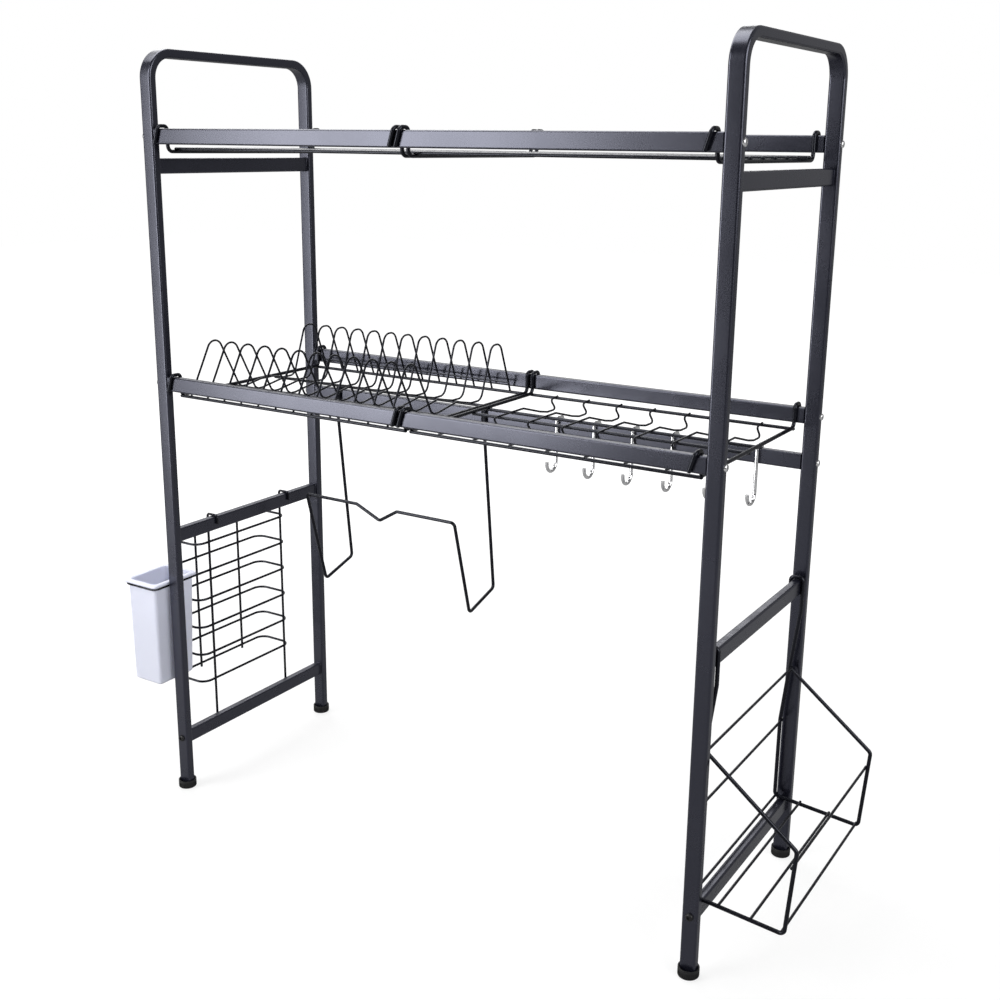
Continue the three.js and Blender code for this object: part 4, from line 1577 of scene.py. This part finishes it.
@dataclass
class CutleryBasket:
    """Level loops of wire on four posts, two of them hooked over the left middle crossbar, and a cup."""

    wardrobe: Wardrobe
    thick: float = 2.4
    weld: float = 0.6
    weld_share: float = 1.35
    standoff: float = 1.5
    wide: float = 47.3
    deep: float = 152.0
    setback: float = 50.0
    hang: float = 26.0
    loops: int = 6
    pitch: float = 34.6
    corner: float = 12.0
    tail: float = 6.0
    near_tail: float = 45.0
    lip: float = 10.0
    hook_bend: float = 3.0
    near_shares: tuple[float, ...] = (0.112, 0.921)
    far_shares: tuple[float, ...] = (0.289, 0.763)
    cup_loop: int = 1
    cup_reach: float = 68.0
    cup_play: float = 0.6
    cup_corner: float = 4.5
    cup_deep: float = 59.5
    cup_tall: float = 123.0
    cup_taper: float = 1.2
    cup_rear_taper: float = 5.0
    cup_lip: float = 3.4
    cup_lip_tall: float = 3.6
    cup_wall: float = 1.6
    cup_floor: float = 2.0
    cup_steps: int = 9
    cup_ease: float = 0.6
    cup_ease_from: float = 0.5

    def near_post(self) -> float:
        """Gives the place across the rack of the posts beside the hoop."""
        return -self.standoff

    def near_side(self) -> float:
        """Gives the place of the loops' side by the hoop."""
        return self.near_post() - self.thick + self.weld

    def top(self) -> float:
        """Gives the top loop's height."""
        return SIZES.mid_bar - self.hang

    def build(self) -> None:
        """Builds the basket and the cup."""
        self.basket()
        self.cup()

    def basket(self) -> None:
        """Bends the loops and posts and welds them together."""
        near, far = self.near_side(), self.near_side() - self.wide
        far_post = far - self.thick + self.weld
        rear = self.setback + self.deep
        levels = [self.top() - i * self.pitch for i in range(self.loops)]
        parts = []
        for i, z in enumerate(levels):
            holds_cup = i == self.cup_loop
            front = self.setback - (self.cup_reach if holds_cup else 0.0)
            corner = self.cup_corner + self.cup_play + self.thick / 2 if holds_cup else self.corner
            parts.append(WireLoop(self.thick, (far, front), (near, rear), z, self.corner, corner).make())
        crown = SIZES.mid_bar + SIZES.bar_tall / 2 + SIZES.gap + self.thick / 2
        inner = SIZES.leg_x(Side.LEFT) + SIZES.bar_thin / 2 + SIZES.gap + self.thick / 2
        spots = []
        for share in self.near_shares:
            y = self.setback + share * self.deep
            corners = [
                (self.near_post(), y, levels[-1] - self.near_tail),
                (self.near_post(), y, crown),
                (inner, y, crown),
                (inner, y, crown - self.lip),
            ]
            parts.append(BentWire(self.thick, corners, self.hook_bend, rings=SLIM_RINGS).make())
            spots += [((self.near_post() + near) / 2, y, z) for z in levels]
        for share in self.far_shares:
            y = self.setback + share * self.deep
            ends = [(far_post, y, levels[-1] - self.tail), (far_post, y, self.top() + self.thick / 2)]
            parts.append(BentWire(self.thick, ends, rings=SLIM_RINGS).make())
            spots += [((far_post + far) / 2, y, z) for z in levels]
        parts += weld_beads(spots, self.thick * self.weld_share, 1.0)
        wired(parts, "cutlery_basket", self.wardrobe)

    def cup(self) -> None:
        """Draws the cup's wall up from its floor, out over the lip and down inside."""
        wide = self.wide - self.thick - 2 * self.cup_play
        front = self.setback - self.cup_reach + self.thick / 2 + self.cup_play
        x = self.near_side() - self.wide / 2
        lip_z = self.top() - self.cup_loop * self.pitch + self.thick / 2 + SIZES.gap
        top_z = lip_z + self.cup_lip_tall
        low_z = top_z - self.cup_tall
        rings = [
            (-self.cup_taper - self.cup_floor, low_z, self.cup_rear_taper),
            (-self.cup_taper, low_z + self.cup_floor, self.cup_rear_taper),
            (0.0, lip_z, 0.0),
            (self.cup_lip, lip_z, 0.0),
            (self.cup_lip, top_z - self.cup_wall, 0.0),
            (self.cup_lip - self.cup_wall, top_z, 0.0),
            (-self.cup_wall, top_z, 0.0),
            (-self.cup_taper - self.cup_wall, low_z + self.cup_floor, self.cup_rear_taper),
        ]
        sections = [
            (wide + 2 * grow, self.cup_deep - slant + 2 * grow, front + (self.cup_deep - slant) / 2, z)
            for grow, z, slant in rings
        ]
        across, along, y, z = sections[0]
        add, where = bpy.ops.mesh.primitive_plane_add, place(x, y, z)
        cup = primitive(add, (across, along, 1.0), size=MM, location=where)
        with editing(cup):
            bevel(self.cup_corner - self.cup_taper, self.cup_steps, "VERTICES")
            bpy.ops.mesh.select_all(action="SELECT")
            for here, after in zip(sections, sections[1:]):
                extrude((0, (after[2] - here[2]) * MM, (after[3] - here[3]) * MM))
                factors = (after[0] / here[0], after[1] / here[1], 1.0)
                bpy.ops.transform.resize(value=factors, center_override=place(x, *after[2:]))
        tidied(cup)
        rounding = {"width": self.cup_ease * MM, "segments": 3}
        add_modifier(cup, "BEVEL", **rounding, limit_method="ANGLE", angle_limit=self.cup_ease_from)
        dressed(levelled(cup), "utensil_cup", "utensil_cup", self.wardrobe.cup)


@dataclass
class SideBasket:
    """Two bent end frames hooked over the right middle crossbar, joined by straight wires."""

    wardrobe: Wardrobe
    thick: float = 3.5
    long_wire: float = 2.15
    end_gap: float = 7.6
    straight: float = 16.0
    shoulder_drop: float = 64.0
    shoulder_lean: float = 7.5
    knee_drop: float = 60.0
    knee_lean: float = 6.0
    floor_wide: float = 90.0
    floor_fall: float = 8.0
    outer_rise: float = 84.0
    outer_lean: float = 6.0
    bend: float = 5.0
    clear: float = 0.5
    weld: float = 0.6
    weld_in: float = 0.5
    weld_share: float = 1.3
    shoulder_weld_share: float = 1.35
    overhang: float = 1.4
    floor_shares: tuple[float, ...] = (0.31, 0.655)
    outer_share: float = 0.8

    def build(self) -> None:
        """Bends the end frames and lays the long wires inside them."""
        hook = BarHook.over(SIZES.leg_x(Side.RIGHT), SIZES.mid_bar, 1, self.thick)
        straight = SIZES.mid_bar - SIZES.bar_tall / 2 - self.straight
        shoulder = (hook.far - self.shoulder_lean, straight - self.shoulder_drop)
        knee = (shoulder[0] - self.knee_lean, shoulder[1] - self.knee_drop)
        slope = self.floor_fall / self.floor_wide
        edge = SIZES.leg_x(Side.RIGHT) + SIZES.bar_thin / 2
        rest_z = SIZES.low_bar + SIZES.bar_tall / 2 + self.clear + self.thick / 2
        floor_z = rest_z + slope * (edge - knee[0])
        heel = (knee[0], floor_z)
        toe = (knee[0] + self.floor_wide, floor_z - self.floor_fall)
        lip = (toe[0] + self.outer_lean, toe[1] + self.outer_rise)
        near = SIZES.tube_thin + self.end_gap
        far = SIZES.deep - near
        corners = [
            (hook.near, near, hook.end),
            (hook.near, near, hook.crown, hook.bend),
            (hook.far, near, hook.crown, hook.bend),
            (hook.far, near, straight),
            *[(x, near, z) for x, z in (shoulder, knee, heel, toe, lip, shoulder)],
        ]
        end = BentWire(self.thick, corners, self.bend, **STOUT).make()
        inward = (self.thick + self.long_wire) / 2 - self.weld

        def between(start: Span, stop: Span, share: float) -> Span:
            """Gives the place at a share of the way between two places."""
            return start[0] + (stop[0] - start[0]) * share, start[1] + (stop[1] - start[1]) * share

        on_floor = [between(heel, toe, share) for share in self.floor_shares]
        outer = between(toe, lip, self.outer_share)
        spots = [
            (shoulder[0] + inward, shoulder[1]),
            (knee[0] + inward, knee[1]),
            (heel[0] + inward, heel[1] + inward),
            *[(x, z + inward) for x, z in on_floor],
            (toe[0] - inward, toe[1] + inward),
            (outer[0] - inward, outer[1]),
        ]
        x, z = spots[0]
        ends = [(x, near - self.overhang, z), (x, far + self.overhang, z)]
        long_wire = BentWire(self.long_wire, ends).make()
        parts = [end, *copies(end, [(0, far - near, 0)]), long_wire]
        parts += copies(long_wire, [(spot[0] - x, 0, spot[1] - z) for spot in spots[1:]])
        welds = [(x - self.weld_in, y, z - self.weld_in) for x, z in spots for y in (near, far)]
        parts += weld_beads(welds, self.long_wire * self.weld_share, 1.0)
        crossings = [(shoulder[0], y, shoulder[1]) for y in (near, far)]
        parts += weld_beads(crossings, self.thick * self.shoulder_weld_share, 1.0)
        wired(parts, "side_basket", self.wardrobe)


# The studio


@dataclass(frozen=True)
class Lamp:
    """A soft rectangular lamp: its place and its size in metres, and its strength in watts."""

    name: str
    spot: Spot
    size: Span
    watts: float


@dataclass
class Studio:
    """A floor that shows white, a world that shows white, soft lamps and the photograph's camera."""

    eye: Spot = (1034.26, -941.79, 741.67)
    yaw: float = 31.903
    pitch: float = 14.539
    roll: float = 0.69
    lens: float = 45.11
    shift: Span = (-0.0042, -0.0311)
    sensor: float = 36.0
    far_clip: float = 50.0
    bright_side: Spot = (-0.1, 0.98, 0.1)
    room: Span = (0.03, 0.3)
    aim: Spot = (0.0, 0.0, 0.42)
    floor_wide: float = 14.0
    floor_drop: float = 0.0005
    floor_grey: Colour = (0.26, 0.26, 0.26, 1.0)
    floor_roughness: float = 0.7
    floor_specular: float = 0.1
    floor_glow: Colour = (0.74, 0.74, 0.74, 1.0)
    glow_grows: Span = (0.5, 1.1)
    glow_in_metal: float = 0.08
    lamps: tuple[Lamp, ...] = (
        Lamp("softbox", (-1.0, -1.42, 0.8), (0.84, 1.8), 31.0),
        Lamp("fill", (2.9, -0.7, 1.8), (2.8, 2.2), 76.0),
        Lamp("back", (-1.5, 1.9, 1.75), (2.6, 1.0), 20.0),
        Lamp("top", (-0.9, 0.1, 2.4), (1.6, 1.6), 36.0),
    )

    def build(self) -> None:
        """Builds the floor, the lights and the camera."""
        self.floor()
        self.world()
        for lamp in self.lamps:
            self.hang(lamp)
        self.camera()

    def floor(self) -> None:
        """Lays the floor: it shows white to the camera and to polished metal, and keeps the shadow."""
        bpy.ops.mesh.primitive_plane_add(size=self.floor_wide, location=(0, 0, -self.floor_drop))
        ground = bpy.context.object
        ground.name = "studio_floor"
        recipe = Recipe("studio_floor")
        length = recipe.node("ShaderNodeVectorMath", {"operation": "LENGTH"}, {0: recipe.here})
        away = Amount(recipe, length.outputs[1]).above(*self.glow_grows)
        rays = recipe.node("ShaderNodeLightPath").outputs
        glossy = Amount(recipe, rays["Is Glossy Ray"]) * self.glow_in_metal
        recipe.wear({"Emission Color": recipe.blend(away, self.floor_glow, WHITE)})
        recipe.wear({"Emission Strength": Amount(recipe, rays["Is Camera Ray"]) + glossy})
        surface = {"Roughness": self.floor_roughness, "Specular IOR Level": self.floor_specular}
        recipe.wear({"Base Color": self.floor_grey, **surface})
        ground.data.materials.append(recipe.material)

    def world(self) -> None:
        """Shows white behind the rack, and lights it more from the bright side, behind the rack."""
        world = bpy.data.worlds.new("studio")
        bpy.context.scene.world = world
        world.use_nodes = True
        nodes = Nodes(world.node_tree)
        spot = nodes.node("ShaderNodeTexCoord").outputs["Generated"]
        inputs = {0: spot, 1: self.bright_side}
        toward = nodes.node("ShaderNodeVectorMath", {"operation": "DOT_PRODUCT"}, inputs)
        values = (toward.outputs["Value"], -1.0, 1.0, *self.room)
        inputs = dict(zip(("Value", "From Min", "From Max", "To Min", "To Max"), values))
        room = nodes.node("ShaderNodeMapRange", None, inputs).outputs[0]
        seen = nodes.node("ShaderNodeLightPath").outputs["Is Camera Ray"]
        strength = nodes.node("ShaderNodeMapRange", None, {"Value": seen, "To Min": room}).outputs[0]
        back = world.node_tree.nodes["Background"]
        nodes.feed(back.inputs["Color"], WHITE)
        nodes.feed(back.inputs["Strength"], strength)

    def hang(self, plan: Lamp) -> None:
        """Hangs a lamp that points at the rack's middle.

        Args:
            plan: The lamp.
        """
        bpy.ops.object.light_add(type="AREA", location=plan.spot)
        lamp = bpy.context.object
        lamp.name = plan.name
        lamp.data.shape = "RECTANGLE"
        lamp.data.size, lamp.data.size_y = plan.size
        lamp.data.energy = plan.watts
        way = Vector(self.aim) - Vector(plan.spot)
        lamp.rotation_euler = way.to_track_quat("-Z", "Y").to_euler()

    def camera(self) -> None:
        """Sets the camera where the photograph was taken from."""
        yaw, pitch, roll = (math.radians(a) for a in (self.yaw, self.pitch, self.roll))
        look = Vector((-math.sin(yaw) * math.cos(pitch), math.cos(yaw) * math.cos(pitch), -math.sin(pitch)))
        right = Vector((math.cos(yaw), math.sin(yaw), 0))
        up = right.cross(look)
        right, up = right * math.cos(roll) + up * math.sin(roll), up * math.cos(roll) - right * math.sin(roll)
        bpy.ops.object.camera_add()
        camera = bpy.context.object
        turn = Matrix((right, up, -look)).transposed()
        camera.matrix_world = Matrix.Translation(place(*self.eye)) @ turn.to_4x4()
        camera.data.sensor_width = self.sensor
        camera.data.lens = self.lens
        camera.data.shift_x, camera.data.shift_y = self.shift
        camera.data.clip_end = self.far_clip
        bpy.context.scene.camera = camera
        bpy.context.scene.view_settings.view_transform = "Standard"


def main() -> None:
    """Builds every sub-assembly in order, then the studio."""
    wardrobe = Wardrobe.filled()
    for assembly in (
        StandFrame(wardrobe),
        LevellingFeet(wardrobe),
        WireShelves(wardrobe),
        PlateRack(wardrobe),
        BowlRack(wardrobe),
        BoardHolder(wardrobe),
        RailHooks(wardrobe),
        CutleryBasket(wardrobe),
        SideBasket(wardrobe),
        Studio(),
    ):
        assembly.build()
        LOG.info("%s is built", type(assembly).__name__)


if __name__ == "__main__":
    logging.basicConfig(level=logging.INFO, format="%(name)s %(message)s")
    main()
